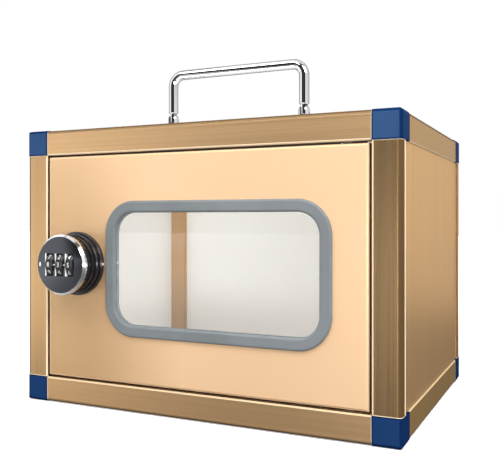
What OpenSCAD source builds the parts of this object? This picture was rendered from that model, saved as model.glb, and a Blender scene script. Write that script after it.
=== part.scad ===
// Phone lock box: a framed case with an inset door, a window, a combination lock and a folding handle.
// Millimetres. Seen from the front, +X is to the right, +Y to the back and +Z up. The box stands on Z = 0.
// The origin is midway across, and midway between the front of the lock's dials and the back of the case.

/* [Case] */
// Width over the corner pieces
case_w = 310; // [290:1:360]
// Depth over the corner pieces
case_d = 230; // [180:1:300]
// Height over the corner pieces
case_h = 220; // [205:1:270]

/* [Frame extrusion] */
// Wide face of the extrusion
face_w = 20; // [19:0.5:24]
// Narrow face of the extrusion
edge_w = 11; // [10.5:0.5:14]
// Wall of the extrusion
web = 1.2; // [1:0.1:1.4]
// Radius of the extrusion's outside edge
edge_r = 3; // [2:0.25:4]
// Bright chamfer along each lip
lip = 0.8; // [0.3:0.1:1]
// Depth of the panel grooves
groove_d = 5; // [4:0.25:5.5]

/* [Corner pieces] */
// How far a corner piece stands proud of the extrusions
corner_proud = 0.4; // [0.2:0.1:1]
// Radius of a corner piece's outside edges
corner_r = 3.2; // [2:0.2:4.5]
// Length of each prong
prong_len = 22; // [14:1:30]
// Lead-in at a prong's tip
prong_lead = 2; // [1:0.5:3]
// Play of a prong on each side
prong_play = 0.1; // [0.05:0.05:0.2]

/* [Panels] */
// Thickness of the five panels
panel_t = 3; // [2:0.25:3.25]
// Play of a panel on each side of its groove
panel_play = 0.1; // [0.05:0.05:0.2]
// Play of a panel at the bottom of its groove
panel_float = 0.3; // [0.1:0.1:0.6]

/* [Door] */
// Gap all round the door
door_gap = 1.6; // [1.4:0.1:2.5]
// Thickness of the folded door sheet
sheet_t = 1.2; // [1:0.1:1.5]
// Depth of the door's folded edges
flange_d = 9.5; // [8.5:0.25:10]
// Outside radius of the folds
bend_r = 2; // [1.8:0.1:3]

/* [Door pivots] */
// Pivot to the door's right edge
pivot_in = 16; // [14:0.5:20]
// Pivot behind the door's front
pivot_back = 7.5; // [7:0.1:7.8]
// Diameter of a pivot pin
pin_d = 4; // [3:0.25:4]
// Running clearance of a pin in its bush, on the radius
pin_clear = 0.06; // [0.03:0.01:0.1]
// Wall of a bush
bush_wall = 0.8; // [0.6:0.1:1]
// Width of a bush's flange
bush_flange = 1; // [0.6:0.1:1.4]
// Room between a bush and the door
bush_room = 0.3; // [0.2:0.1:0.5]
// Height of a hinge block
block_h = 12; // [10:0.5:16]
// Hinge block to each side of its pin
block_side = 11; // [9:0.5:12]
// Hinge block behind its pin
block_back = 4; // [3.5:0.25:6]
// Diameter of a rivet
rivet_d = 3; // [2:0.25:3.5]
// Diameter of a rivet's head
rivet_head_d = 5; // [4:0.25:6]
// Height of a rivet's head
rivet_head_h = 0.8; // [0.5:0.1:1]
// Rivet to the pivot pin
rivet_pitch = 7; // [6:0.25:8]

/* [Window] */
// Gasket to the left side of the case
window_left = 79; // [78:0.5:110]
// Gasket to the right side of the case
window_right = 47; // [40:0.5:80]
// Gasket to the top of the case
window_top = 58; // [45:0.5:65]
// Gasket to the bottom of the case
window_bottom = 58; // [45:0.5:65]
// Outside corner radius of the gasket
window_r = 25; // [18:0.5:32]
// Width of the gasket's face
gasket_w = 9; // [8.5:0.25:12]
// Gasket in front of the door
gasket_proud = 2.2; // [1.5:0.1:3]
// Gasket behind the pane
gasket_back = 2.2; // [1.5:0.1:3]
// Radius along the gasket's face
gasket_r = 1.8; // [1:0.1:2]
// Middle web of the gasket
gasket_core = 2.2; // [1.6:0.1:3]
// Thickness of the gasket's back lip at its edge on the door
gasket_lip = 1; // [0.6:0.1:2]
// Pane behind the door's front
pane_front = 0.2; // [0.1:0.05:0.5]
// Thickness of the pane
pane_t = 3; // [2:0.25:4]
// Play of sheet and pane in the gasket
gasket_play = 0.05; // [0.02:0.01:0.1]
// Room at the bottom of the gasket's grooves
gasket_room = 0.2; // [0.1:0.1:0.4]

/* [Lock] */
// Lock axis to the left side of the case
lock_in = 52; // [49:0.5:52.5]
// Height of the lock axis
lock_z = 113; // [100:1:125]
// Diameter of the base ring
base_d = 50; // [46:0.5:52]
// Diameter of the base ring's step
base_step_d = 47; // [44:0.5:48]
// Thickness of the base ring's rim
base_rim = 3.4; // [2.5:0.1:4]
// Thickness of the base ring
base_t = 7; // [6:0.25:9]
// Floor of the base ring
base_floor = 2.3; // [1.8:0.1:3]
// Gap between the base ring and the turning knob
run_gap = 0.3; // [0.2:0.05:0.5]
// Diameter of the threaded barrel
barrel_d = 20; // [18:0.5:22]
// Width across the barrel's flats
barrel_flat = 17; // [15:0.5:17.5]
// Length of the barrel behind the door's front
barrel_len = 8.5; // [7.5:0.25:10]
// Clearance of the barrel in the door and nut, on the radius
barrel_clear = 0.1; // [0.05:0.05:0.2]
// Width across the flats of the barrel nut
nut_af = 26; // [25:0.5:29]
// Thickness of the barrel nut
nut_t = 4.5; // [3:0.25:5]
// Diameter of the knob's grip
knob_d = 44; // [41:0.5:45]
// Diameter of the knob's spigot inside the base ring
spigot_d = 34.6; // [33.5:0.2:37]
// Wall behind the dials
knob_back = 1.5; // [1.2:0.1:2]
// Width of the groove round the knob
knob_groove_w = 2; // [1:0.25:3]
// Depth of the groove round the knob
knob_groove_d = 1.2; // [0.6:0.1:1.5]
// Number of flutes round the knob
flute_n = 30; // [18:1:36]
// Radius of a flute
flute_r = 0.9; // [0.5:0.1:1.2]
// Diameter of the bright face
face_d = 46.5; // [44:0.5:48]
// Thickness of the bright face at its rim
face_t = 3.5; // [3:0.25:4.5]
// Thickness of the bright face at the dials
face_plate = 2; // [1.5:0.1:2.2]
// Bevel round the bright face
face_bevel = 1.6; // [0.8:0.1:2]
// Height of the index marks on the face
mark_h = 0.4; // [0.2:0.1:0.6]
// Width of the index marks
mark_w = 0.9; // [0.5:0.1:1.5]

/* [Dials] */
// Diameter of a dial
dial_d = 20; // [18:0.5:21]
// Width of a dial
dial_w = 6.2; // [5:0.1:6.6]
// Distance between dials
dial_pitch = 9.6; // [9:0.1:10]
// How far a dial stands out of the face
dial_proud = 2.4; // [1.5:0.1:3]
// Room round a dial
dial_room = 0.4; // [0.3:0.05:0.6]
// Numbers on a dial
dial_steps = 10; // [6:1:12]
// Radius of the notches between the numbers
dial_notch_r = 0.7; // [0.4:0.1:1]
// Chamfer of a dial's rim
dial_chamfer = 0.6; // [0.3:0.1:1]
// Diameter of a dial's hub
hub_d = 8; // [6:0.5:10]
// Gap between neighbouring hubs
hub_gap = 0.4; // [0.2:0.05:0.6]
// Diameter of the dial axle
axle_d = 3; // [2:0.25:4]
// Running clearance of a dial on the axle, on the radius
axle_clear = 0.05; // [0.03:0.01:0.1]
// Length of axle held at each end
axle_seat = 3; // [2:0.25:4]
// Thickness of the detent spring
detent_t = 0.5; // [0.3:0.05:0.6]
// Width of the detent spring
detent_w = 5; // [4:0.25:6]
// Radius of the detent spring's bumps
detent_r = 0.6; // [0.4:0.05:0.7]
// Clearance of the detent spring's bumps
detent_gap = 0.25; // [0.2:0.05:0.4]

/* [Cam and strike] */
// Diameter of the spindle
spindle_d = 9.9; // [8:0.1:10.5]
// Running clearance of the spindle in the barrel, on the radius
spindle_clear = 0.05; // [0.03:0.01:0.1]
// Square of the spindle's ends
tang_w = 6; // [5:0.25:6.5]
// Clearance round the square ends
tang_clear = 0.03; // [0.02:0.01:0.05]
// Gap between the cam and the strike
cam_gap = 0.5; // [0.3:0.1:1]
// Thickness of the cam
cam_t = 2; // [1.5:0.1:3]
// Width of the cam's arm
cam_w = 12; // [10:0.5:14]
// Lock axis to the cam's tip
cam_len = 34; // [32:0.5:36]
// Diameter of the cam's eye
cam_eye_d = 17; // [15:0.5:20]
// Diameter of the cam screw
cam_screw_d = 4; // [3:0.25:4.25]
// Diameter of the cam screw's head
cam_head_d = 10; // [9:0.25:12]
// Height of the cam screw's head
cam_head_h = 2.4; // [1.5:0.1:3]
// Hex socket of the cam screw, across its flats
cam_socket = 4; // [3:0.5:5]
// Depth of the cam screw's socket
cam_socket_d = 1.5; // [1:0.1:1.6]
// Length of the cam screw in the spindle
cam_screw_len = 9; // [6:0.5:12]
// Length of the strike
strike_len = 140; // [120:1:150]
// Strike past the post's edge
strike_reach = 5; // [4.5:0.25:6]
// Strike over the post
strike_lap = 13; // [11:0.5:14]
// Thickness of the strike
strike_t = 1.5; // [1:0.1:2]
// Strike screw to the middle of the strike
strike_pitch = 52; // [44:1:56]
// Diameter of the strike screws
strike_screw_d = 3; // [2.5:0.25:3.5]
// Diameter of the strike screws' heads
strike_head_d = 6; // [5:0.25:7]
// Height of the strike screws' heads
strike_head_h = 1.6; // [1:0.1:2]
// Width of the cross in a strike screw's head
strike_cross_w = 0.8; // [0.5:0.1:1]
// Length of the cross in a strike screw's head
strike_cross_len = 2.6; // [2:0.1:3]
// Length of a bumper
bumper_len = 20; // [12:1:30]
// Gap between the closed door and the bumpers
bumper_gap = 0.3; // [0.2:0.05:0.5]
// Bumper's edge to the post's edge
bumper_in = 0.6; // [0.4:0.1:1]

/* [Handle] */
// Distance between the handle's legs
handle_span = 120; // [96:1:160]
// Handle behind the case's front
handle_back = 74; // [60:1:110]
// Middle of the handle's bar above the case's top
handle_rise = 51; // [46:0.5:70]
// Handle's pivots above the case's top
pivot_rise = 13.6; // [12.5:0.1:20]
// Diameter of the handle's bar
bar_d = 8; // [7:0.25:9]
// Bend radius of the bar's middle line
bar_bend = 9.5; // [8:0.5:20]
// Diameter of the handle's feet
foot_d = 9; // [8:0.25:11]
// Thickness of the bar's tongues
tongue_t = 3.6; // [3:0.1:4.5]
// Clearance of a tongue on each side
tongue_clear = 0.15; // [0.1:0.05:0.3]
// Gap between a foot's dome and the bar's shoulder
shoulder_gap = 0.4; // [0.3:0.05:0.8]
// Chamfer at the bar's shoulders
shoulder_chamfer = 0.8; // [0.4:0.1:1.2]
// Diameter of the handle's pins
handle_pin_d = 3; // [2.5:0.25:3.5]
// Running clearance of the handle on its pins, on the radius
handle_pin_clear = 0.05; // [0.03:0.01:0.1]
// Diameter of the handle's screws
screw_d = 5; // [4:0.25:5.25]
// Length of a screw in its foot
screw_hold = 8; // [5:0.5:8]
// Diameter of a handle screw's head
screw_head_d = 9; // [8:0.25:11]
// Height of a handle screw's head
screw_head_h = 3; // [2:0.25:4]
// Hex socket of a handle screw, across its flats
screw_socket = 4; // [3:0.5:5]
// Depth of a handle screw's socket
screw_socket_d = 2; // [1:0.25:2]
// Diameter of a handle washer
washer_d = 14; // [12:0.5:18]
// Thickness of a handle washer
washer_t = 1.2; // [0.8:0.1:2]
// Clearance of a screw in a plain hole, on the radius
screw_clear = 0.25; // [0.1:0.05:0.4]

/* [Hidden] */
$fn = 72;
// How far a cut runs past the face it opens
cut = 1;
// Clearance of a fixed pin or screw in its own hole, on the radius
seat_clear = 0.02;

// Frame
slot = panel_t + 2 * panel_play;
frame_x = case_w / 2 - corner_proud;
frame_h = case_h - 2 * corner_proud;
frame_d = case_d - 2 * corner_proud;
chamber_a = web + slot + web;
chamber_aw = face_w - groove_d - web - chamber_a;
chamber_bw = edge_w - 2 * web;
groove_a = edge_w - groove_d;
groove_b = face_w - groove_d;

// Lock, measured forwards from the door's front
knob_rear = base_floor + run_gap;
dial_reach = knob_rear + knob_back + dial_room + dial_d / 2;
lock_reach = dial_reach + dial_d / 2 - dial_proud;
face_rear = lock_reach - face_t;
plate_rear = lock_reach - face_plate;
hub_half = (dial_pitch - hub_gap) / 2;
dial_half = dial_pitch + hub_half + hub_gap;
slot_half = sqrt(pow(dial_d / 2, 2) - pow(plate_rear - dial_reach, 2)) + dial_room;
cavity_r = dial_d / 2 + dial_room;
detent_low = dial_d / 2 + detent_gap + 2 * detent_r + seat_clear;

// Places along Y and Z
front_y = (lock_reach + dial_proud - corner_proud - case_d) / 2;
frame_front = front_y + corner_proud;
frame_back = frame_front + frame_d;
frame_bottom = corner_proud;
frame_top = corner_proud + frame_h;
door_z = case_h / 2;
lock_x = lock_in - case_w / 2;

// Door
door_w = 2 * (frame_x - face_w - door_gap);
door_h = frame_h - 2 * (face_w + door_gap);
pivot_x = door_w / 2 - pivot_in;
pivot_y = frame_front + pivot_back;
bush_d = pin_d + 2 * (pin_clear + bush_wall);
bush_top = door_gap - bush_room;
bush_depth = groove_d;
block_front = sheet_t;
block_rear = pivot_back + block_back;
block_relief = bend_r - sheet_t + seat_clear;

// Window, with the gasket's section measured outwards from the clear opening
window_w = case_w - window_left - window_right;
window_h = case_h - window_top - window_bottom;
window_x = (window_left - window_right) / 2;
window_z = (window_bottom - window_top) / 2;
open_w = window_w - 2 * gasket_w;
open_h = window_h - 2 * gasket_w;
open_r = window_r - gasket_w;
core_in = (gasket_w - gasket_core) / 2;
core_out = core_in + gasket_core;
pane_rear = pane_front + pane_t;
gasket_rear = pane_rear + gasket_back;
pane_over = core_in - gasket_room;
sheet_over = core_out + gasket_room;

// Strike and cam, measured back from the front of the frame
strike_back = edge_w + strike_t;
cam_front = strike_back + cam_gap;
cam_back = cam_front + cam_t;
post_edge = face_w - frame_x;
strike_screw_x = (chamber_a + chamber_aw - face_w - strike_lap) / 2;

// Handle
top_face = frame_top - web - panel_play;
top_under = top_face - panel_t;
handle_y = front_y + handle_back;
handle_pivot = case_h + pivot_rise;
handle_top = case_h + handle_rise;
shoulder = foot_d / 2 + shoulder_gap;
eye_r = bar_d / 2;
fork_floor = handle_pivot - eye_r - tongue_clear * 2;

// Colours
gold = "#c9a063";
pale_gold = "#efcf9f";
blue = "#2c5596";
grey_rubber = "#8a9296";
black = "#1b1b1d";
chrome = "#d9dce0";
steel = "#a9adb0";
nylon = "#e9e6dc";
clear = [0.8, 0.9, 0.95, 0.35];

// Turns a shape drawn in A, B and length to run along X, with A up and B to the back
along_x = [[0, 0, 1, 0], [0, 1, 0, 0], [1, 0, 0, 0], [0, 0, 0, 1]];
// Turns the same shape to run along Y, with A up and B to the right
along_y = [[0, 1, 0, 0], [0, 0, 1, 0], [1, 0, 0, 0], [0, 0, 0, 1]];

// A rectangle from the origin, with the corner at the origin rounded
module edge_rounded(w, h, r) {
    translate([r, 0]) square([w - r, h]);
    translate([0, r]) square([w, h - r]);
    translate([r, r]) circle(r);
}

// A rectangle about the origin with four round corners
module round_rect(w, h, r) {
    square([w - 2 * r, h], center = true);
    square([w, h - 2 * r], center = true);
    for (x = [-1, 1], y = [-1, 1]) translate([x * (w / 2 - r), y * (h / 2 - r)]) circle(r);
}

// Extrudes an outline drawn in X and Z towards the back
module towards_back(t) {
    translate([0, t, 0]) rotate([90, 0, 0]) linear_extrude(t) children();
}

// Puts a piece drawn at the left, front, bottom corner of the frame at any of its corners
module at_corner(side, end, level) {
    translate([side * frame_x, end < 0 ? frame_front : frame_back, level < 0 ? frame_bottom : frame_top])
        mirror([side > 0 ? 1 : 0, 0, 0])
            mirror([0, end > 0 ? 1 : 0, 0])
                mirror([0, 0, level > 0 ? 1 : 0])
                    children();
}

// Section of the extrusion: A across the wide face, B across the narrow face, from the outside edge
module extrusion_section() {
    difference() {
        edge_rounded(face_w, edge_w, edge_r);
        // Chamfers along both lips
        polygon([[face_w - lip, 0], [face_w + cut, -cut - lip], [face_w + cut, lip + cut]]);
        polygon([[0, edge_w - lip], [-cut - lip, edge_w + cut], [lip + cut, edge_w + cut]]);
        // Panel grooves
        translate([web, groove_a]) square([slot, groove_d + cut]);
        translate([groove_b, web]) square([groove_d + cut, slot]);
        // Chamber for the corner's prong
        translate([chamber_a, web]) square([chamber_aw, chamber_bw]);
        // Chamber behind the groove in the wide face
        translate([groove_b, chamber_a]) square([groove_d - web, edge_w - web - chamber_a]);
        // Chamber inside the rounded edge
        translate([web, web]) edge_rounded(slot, groove_a - 2 * web, max(edge_r - web, 0.2));
    }
}

module post(side, end) {
    at_corner(side, end, -1)
        translate([0, 0, face_w]) linear_extrude(frame_h - 2 * face_w) extrusion_section();
}

module rail_across(end, level) {
    at_corner(-1, end, level)
        multmatrix(along_x)
            translate([0, 0, face_w]) linear_extrude(2 * (frame_x - face_w)) extrusion_section();
}

module rail_deep(side, level) {
    at_corner(side, -1, level)
        multmatrix(along_y)
            translate([0, 0, face_w]) linear_extrude(frame_d - 2 * face_w) extrusion_section();
}

// The left front post is drilled for the strike's screws
module post_front_left() {
    color(gold) difference() {
        post(-1, -1);
        strike_holes(seat_clear);
    }
}

// The front rails are drilled for the pivot bushes
module rail_front(level) {
    color(gold) difference() {
        rail_across(-1, level);
        at_pivot(level) translate([0, 0, door_gap]) cylinder(d = bush_d + 2 * seat_clear, h = bush_depth);
    }
}

// Outline of a corner piece seen from one side, from its own outside edge
module corner_outline(w, h) {
    translate([-corner_proud, -corner_proud])
        edge_rounded(w + corner_proud, h + corner_proud, corner_r);
}

module prong() {
    w = chamber_aw - 2 * prong_play;
    h = chamber_bw - 2 * prong_play;
    translate([chamber_a + prong_play, web + prong_play, face_w - cut])
        cube([w, h, prong_len - prong_lead + cut]);
    translate([chamber_a + prong_play + prong_lead / 4, web + prong_play + prong_lead / 4, face_w])
        cube([w - prong_lead / 2, h - prong_lead / 2, prong_len]);
}

// One corner piece, drawn at the left, front, bottom corner
module corner_piece(end) {
    size = face_w + corner_proud;
    difference() {
        union() {
            intersection() {
                translate([0, 0, -corner_proud]) linear_extrude(size) union() {
                    corner_outline(face_w, edge_w);
                    corner_outline(edge_w, face_w);
                }
                multmatrix(along_x) translate([0, 0, -corner_proud])
                    linear_extrude(size) corner_outline(face_w, face_w);
                multmatrix(along_y) translate([0, 0, -corner_proud])
                    linear_extrude(size) corner_outline(face_w, face_w);
            }
            prong();
            multmatrix(along_x) prong();
            multmatrix(along_y) prong();
        }
        // Grooves that go on from the extrusions' own
        translate([groove_a, groove_a, web]) cube([face_w, face_w, slot]);
        translate([web, groove_a, groove_b]) cube([slot, face_w, face_w]);
        if (end > 0) translate([groove_b, web, groove_b]) cube([face_w, slot, face_w]);
    }
}

module corner(side, end, level) {
    color(blue) at_corner(side, end, level) corner_piece(end);
}

module panel_side(side) {
    color(gold)
        translate([side < 0 ? web + panel_play - frame_x : frame_x - web - panel_play - panel_t,
                   frame_front + groove_a + panel_float, frame_bottom + groove_b + panel_float])
            cube([panel_t, frame_d - 2 * (groove_a + panel_float), frame_h - 2 * (groove_b + panel_float)]);
}

module panel_back() {
    color(gold)
        translate([groove_b + panel_float - frame_x, frame_back - web - panel_play - panel_t,
                   frame_bottom + groove_b + panel_float])
            cube([2 * (frame_x - groove_b - panel_float), panel_t, frame_h - 2 * (groove_b + panel_float)]);
}

// The bottom and top panels lie in the rails' narrow grooves
module panel_flat(z) {
    translate([groove_a + panel_float - frame_x, frame_front + groove_a + panel_float, z])
        cube([2 * (frame_x - groove_a - panel_float), frame_d - 2 * (groove_a + panel_float), panel_t]);
}

module panel_bottom() {
    color(gold) panel_flat(frame_bottom + web + panel_play);
}

module panel_top() {
    color(gold) difference() {
        panel_flat(top_under);
        at_feet() translate([0, 0, top_under - cut])
            cylinder(d = screw_d + 2 * screw_clear, h = panel_t + 2 * cut);
    }
}

// Section of the folded door with its two front folds
module pan_section(w, d, r) {
    translate([-w / 2, r]) square([w, d - r]);
    translate([r - w / 2, 0]) square([w - 2 * r, d]);
    for (x = [-1, 1]) translate([x * (w / 2 - r), r]) circle(r);
}

// Outer or inner body of the folded door, from its front face
module pan_body(w, h, d, r) {
    intersection() {
        translate([0, 0, -h / 2]) linear_extrude(h) pan_section(w, d, r);
        multmatrix(along_x) translate([0, 0, -w / 2]) linear_extrude(w) pan_section(h, d, r);
    }
}

// Places what is measured from the middle of the door's front
module at_door() {
    translate([0, frame_front, door_z]) children();
}

// Places what is measured from the middle of the window on the door's front
module at_window() {
    at_door() translate([window_x, 0, window_z]) children();
}

// Places what is measured from the pivot at the door's bottom or top edge, outwards
module at_pivot(level) {
    translate([pivot_x, pivot_y, door_z + level * door_h / 2]) mirror([0, 0, level < 0 ? 1 : 0]) children();
}

module door_sheet() {
    color(pale_gold) difference() {
        at_door() pan_body(door_w, door_h, flange_d, bend_r);
        at_door() translate([0, sheet_t, 0])
            pan_body(door_w - 2 * sheet_t, door_h - 2 * sheet_t, flange_d, bend_r - sheet_t);
        // Window
        at_window() translate([0, -cut, 0]) towards_back(sheet_t + 2 * cut)
            round_rect(open_w + 2 * sheet_over, open_h + 2 * sheet_over, open_r + sheet_over);
        // Lock
        at_lock() translate([0, 0, -sheet_t - cut])
            linear_extrude(sheet_t + 2 * cut) barrel_outline(barrel_clear);
        // Pivot pins and rivets
        for (level = [-1, 1]) at_pivot(level) translate([0, 0, -sheet_t - cut]) {
            cylinder(d = pin_d + 2 * seat_clear, h = sheet_t + 2 * cut);
            for (x = [-1, 1]) translate([x * rivet_pitch, 0, 0])
                cylinder(d = rivet_d + 2 * seat_clear, h = sheet_t + 2 * cut);
        }
    }
}

// Half section of the window gasket: outwards from the opening, and back from the door's front
module gasket_section() {
    difference() {
        union() {
            translate([0, gasket_r - gasket_proud]) square([gasket_w, gasket_proud + gasket_rear - gasket_r]);
            translate([gasket_r, -gasket_proud]) square([gasket_w - 2 * gasket_r, gasket_r + cut]);
            for (x = [gasket_r, gasket_w - gasket_r]) translate([x, gasket_r - gasket_proud]) circle(gasket_r);
        }
        translate([-cut, pane_front - gasket_play]) square([core_in + cut, pane_t + 2 * gasket_play]);
        translate([core_out, -gasket_play]) square([gasket_w, sheet_t + 2 * gasket_play]);
        // The back lip on the sheet's side slopes down to the sheet
        polygon([[core_out, gasket_rear], [gasket_w, sheet_t + gasket_lip], [gasket_w + cut, sheet_t + gasket_lip],
                 [gasket_w + cut, gasket_rear + cut], [core_out, gasket_rear + cut]]);
    }
}

module window_gasket() {
    color(grey_rubber) at_window() rotate([-90, 0, 0]) {
        for (x = [-1, 1]) mirror([x < 0 ? 1 : 0, 0, 0])
            translate([open_w / 2, open_h / 2 - open_r, 0]) rotate([90, 0, 0])
                linear_extrude(open_h - 2 * open_r) gasket_section();
        for (y = [-1, 1]) mirror([0, y < 0 ? 1 : 0, 0])
            translate([open_r - open_w / 2, open_h / 2, 0]) rotate([90, 0, 90])
                linear_extrude(open_w - 2 * open_r) gasket_section();
        for (x = [-1, 1], y = [-1, 1]) mirror([x < 0 ? 1 : 0, 0, 0]) mirror([0, y < 0 ? 1 : 0, 0])
            translate([open_w / 2 - open_r, open_h / 2 - open_r, 0])
                rotate_extrude(angle = 90) translate([open_r, 0]) gasket_section();
    }
}

module window_pane() {
    color(clear) at_window() translate([0, pane_front, 0]) towards_back(pane_t)
        round_rect(open_w + 2 * pane_over, open_h + 2 * pane_over, open_r + pane_over);
}

// A block inside the door's corner holds each pivot pin, cut back along the door's fold
module hinge_block(level) {
    front = block_front - pivot_back;
    rear = block_rear - pivot_back;
    color(steel) difference() {
        at_pivot(level) translate([-block_side, 0, -sheet_t]) rotate([90, 0, 90]) linear_extrude(2 * block_side)
            polygon([[front, -block_relief], [front + block_relief, 0], [rear, 0], [rear, -block_h],
                     [front, -block_h]]);
        at_pivot(level) translate([0, 0, -sheet_t - block_h - cut]) {
            cylinder(d = pin_d + 2 * seat_clear, h = block_h + 2 * cut);
            for (x = [-1, 1]) translate([x * rivet_pitch, 0, 0])
                cylinder(d = rivet_d + 2 * seat_clear, h = block_h + 2 * cut);
        }
    }
}

module hinge_pin(level) {
    color(steel) at_pivot(level) translate([0, 0, -sheet_t - block_h])
        cylinder(d = pin_d, h = sheet_t + block_h + door_gap + bush_depth);
}

// A flanged bush in the front rail, with the flange in the gap
module hinge_bush(level) {
    color(nylon) at_pivot(level) difference() {
        union() {
            translate([0, 0, door_gap - bush_top]) cylinder(d = bush_d + 2 * bush_flange, h = bush_top);
            translate([0, 0, door_gap - cut / 2]) cylinder(d = bush_d, h = bush_depth + cut / 2);
        }
        translate([0, 0, -cut]) cylinder(d = pin_d + 2 * pin_clear, h = bush_depth + door_gap + 2 * cut);
    }
}

module hinge_rivets() {
    color(steel) for (level = [-1, 1], x = [-1, 1])
        at_pivot(level) translate([x * rivet_pitch, 0, 0]) {
            translate([0, 0, -sheet_t - block_h]) cylinder(d = rivet_d, h = sheet_t + block_h);
            cylinder(d1 = rivet_head_d, d2 = rivet_d, h = rivet_head_h);
        }
}

// Places what is measured from the left front post's inner edge, half way up the door
module at_strike() {
    translate([post_edge, frame_front, door_z]) children();
}

// Holes for the strike's screws, through the back wall of the post's prong chamber
module strike_holes(clearance) {
    at_strike() for (z = [-1, 1])
        translate([strike_screw_x, edge_w - web - cut, z * strike_pitch]) rotate([-90, 0, 0])
            cylinder(d = strike_screw_d + 2 * clearance, h = web + strike_t + 2 * cut);
}

// A strip behind the post that the cam catches and the door's bumpers sit on
module strike() {
    color(steel) difference() {
        at_strike() translate([-strike_lap, edge_w, -strike_len / 2])
            cube([strike_lap + strike_reach, strike_t, strike_len]);
        strike_holes(screw_clear);
    }
}

module strike_screws() {
    head_end = strike_back + strike_head_h;
    color(steel) at_strike() for (z = [-1, 1])
        translate([strike_screw_x, 0, z * strike_pitch]) rotate([-90, 0, 0]) difference() {
            union() {
                translate([0, 0, edge_w - 2 * web]) cylinder(d = strike_screw_d, h = 2 * web + strike_t);
                translate([0, 0, strike_back])
                    cylinder(d1 = strike_head_d, d2 = strike_screw_d, h = strike_head_h);
            }
            for (a = [0, 90]) rotate([0, 0, a]) translate([0, 0, head_end])
                cube([strike_cross_len, strike_cross_w, strike_head_h], center = true);
        }
}

module door_bumpers() {
    bumper_front = flange_d + bumper_gap;
    color(black) at_strike() for (z = [-1, 1])
        translate([bumper_in, bumper_front, z * strike_pitch - bumper_len / 2])
            cube([strike_reach - bumper_in, edge_w - bumper_front, bumper_len]);
}

// Places what is measured from the lock's axis on the door's front: X right, Y up and Z forwards
module at_lock() {
    translate([lock_x, frame_front, lock_z]) rotate([90, 0, 0]) children();
}

// A round barrel with two flats
module barrel_outline(clearance) {
    intersection() {
        circle(d = barrel_d + 2 * clearance);
        square([barrel_flat + 2 * clearance, 2 * barrel_d], center = true);
    }
}

module lock_base() {
    rim = base_d / 2;
    step = base_step_d / 2;
    bevel = (rim - step) / 2;
    color(black) at_lock() difference() {
        union() {
            rotate_extrude() polygon([[0, 0], [rim, 0], [rim, base_rim - bevel], [rim - bevel, base_rim],
                                      [step, base_rim], [step, base_t - bevel], [step - bevel, base_t],
                                      [0, base_t]]);
            translate([0, 0, -barrel_len]) linear_extrude(barrel_len + cut) barrel_outline(0);
        }
        translate([0, 0, base_floor]) cylinder(d = spigot_d + 2 * run_gap, h = base_t);
        translate([0, 0, -barrel_len - cut])
            cylinder(d = spindle_d + 2 * spindle_clear, h = barrel_len + base_t);
    }
}

module lock_nut() {
    color(steel) at_lock() translate([0, 0, -sheet_t - nut_t]) difference() {
        cylinder(d = nut_af / cos(30), h = nut_t, $fn = 6);
        translate([0, 0, -cut]) cylinder(d = barrel_d + 2 * barrel_clear, h = nut_t + 2 * cut);
    }
}

// Room for the dials: a round trough that opens to the front, up to the face's plate
module dial_cavity() {
    intersection() {
        union() {
            rotate([0, 90, 0]) translate([-dial_reach, 0, -dial_half]) cylinder(r = cavity_r, h = 2 * dial_half);
            translate([-dial_half, -cavity_r, dial_reach]) cube([2 * dial_half, 2 * cavity_r, cavity_r]);
        }
        translate([-knob_d / 2, -knob_d / 2, 0]) cube([knob_d, knob_d, plate_rear]);
    }
}

module lock_knob() {
    knob_front = base_t + run_gap;
    grip_len = face_rear - knob_front;
    groove_at = knob_front + grip_len / 3;
    color(black) at_lock() difference() {
        union() {
            translate([0, 0, knob_rear]) cylinder(d = spigot_d, h = face_rear - knob_rear);
            difference() {
                translate([0, 0, knob_front]) cylinder(d = knob_d, h = grip_len);
                // Groove round the knob
                translate([0, 0, groove_at]) difference() {
                    cylinder(d = knob_d + 2 * cut, h = knob_groove_w);
                    translate([0, 0, -cut])
                        cylinder(d = knob_d - 2 * knob_groove_d, h = knob_groove_w + 2 * cut);
                }
                // Flutes for the fingers, in front of the groove
                for (i = [0 : flute_n - 1]) rotate([0, 0, (i + 0.5) * 360 / flute_n])
                    translate([knob_d / 2 + flute_r / 3, 0, groove_at + knob_groove_w / 2])
                        cylinder(r = flute_r, h = grip_len);
            }
        }
        dial_cavity();
        // Seats for the dial axle, open to the front
        for (x = [-1, 1]) mirror([x < 0 ? 1 : 0, 0, 0]) translate([dial_half - cut, 0, dial_reach]) {
            rotate([0, 90, 0]) cylinder(d = axle_d + 2 * seat_clear, h = axle_seat + cut);
            translate([0, -axle_d / 2 - seat_clear, 0])
                cube([axle_seat + cut, axle_d + 2 * seat_clear, face_rear - dial_reach + cut]);
        }
        // Room for the detent spring under the dials
        translate([-dial_half, -detent_low, dial_reach - detent_w / 2])
            cube([2 * dial_half, detent_low, face_rear - dial_reach + detent_w]);
        // Seat of the spindle's square end
        translate([0, 0, knob_rear]) cube([tang_w + 2 * tang_clear, tang_w + 2 * tang_clear, 4 * knob_back],
                                          center = true);
    }
}

module lock_face() {
    slot_w = dial_w + 2 * dial_room;
    r = face_d / 2;
    color(chrome) at_lock() {
        difference() {
            rotate_extrude() polygon([[0, face_rear], [r, face_rear], [r, lock_reach - face_bevel],
                                      [r - face_bevel, lock_reach], [0, lock_reach]]);
            dial_cavity();
            for (x = [-1, 0, 1]) translate([x * dial_pitch - slot_w / 2, -slot_half, face_rear - cut])
                cube([slot_w, 2 * slot_half, face_t + 2 * cut]);
        }
        // Index marks beside the dials
        for (x = [-0.5, 0.5]) translate([x * dial_pitch - (dial_pitch - slot_w) / 2, -mark_w / 2, lock_reach - cut])
            cube([dial_pitch - slot_w, mark_w, mark_h + cut]);
    }
}

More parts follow.
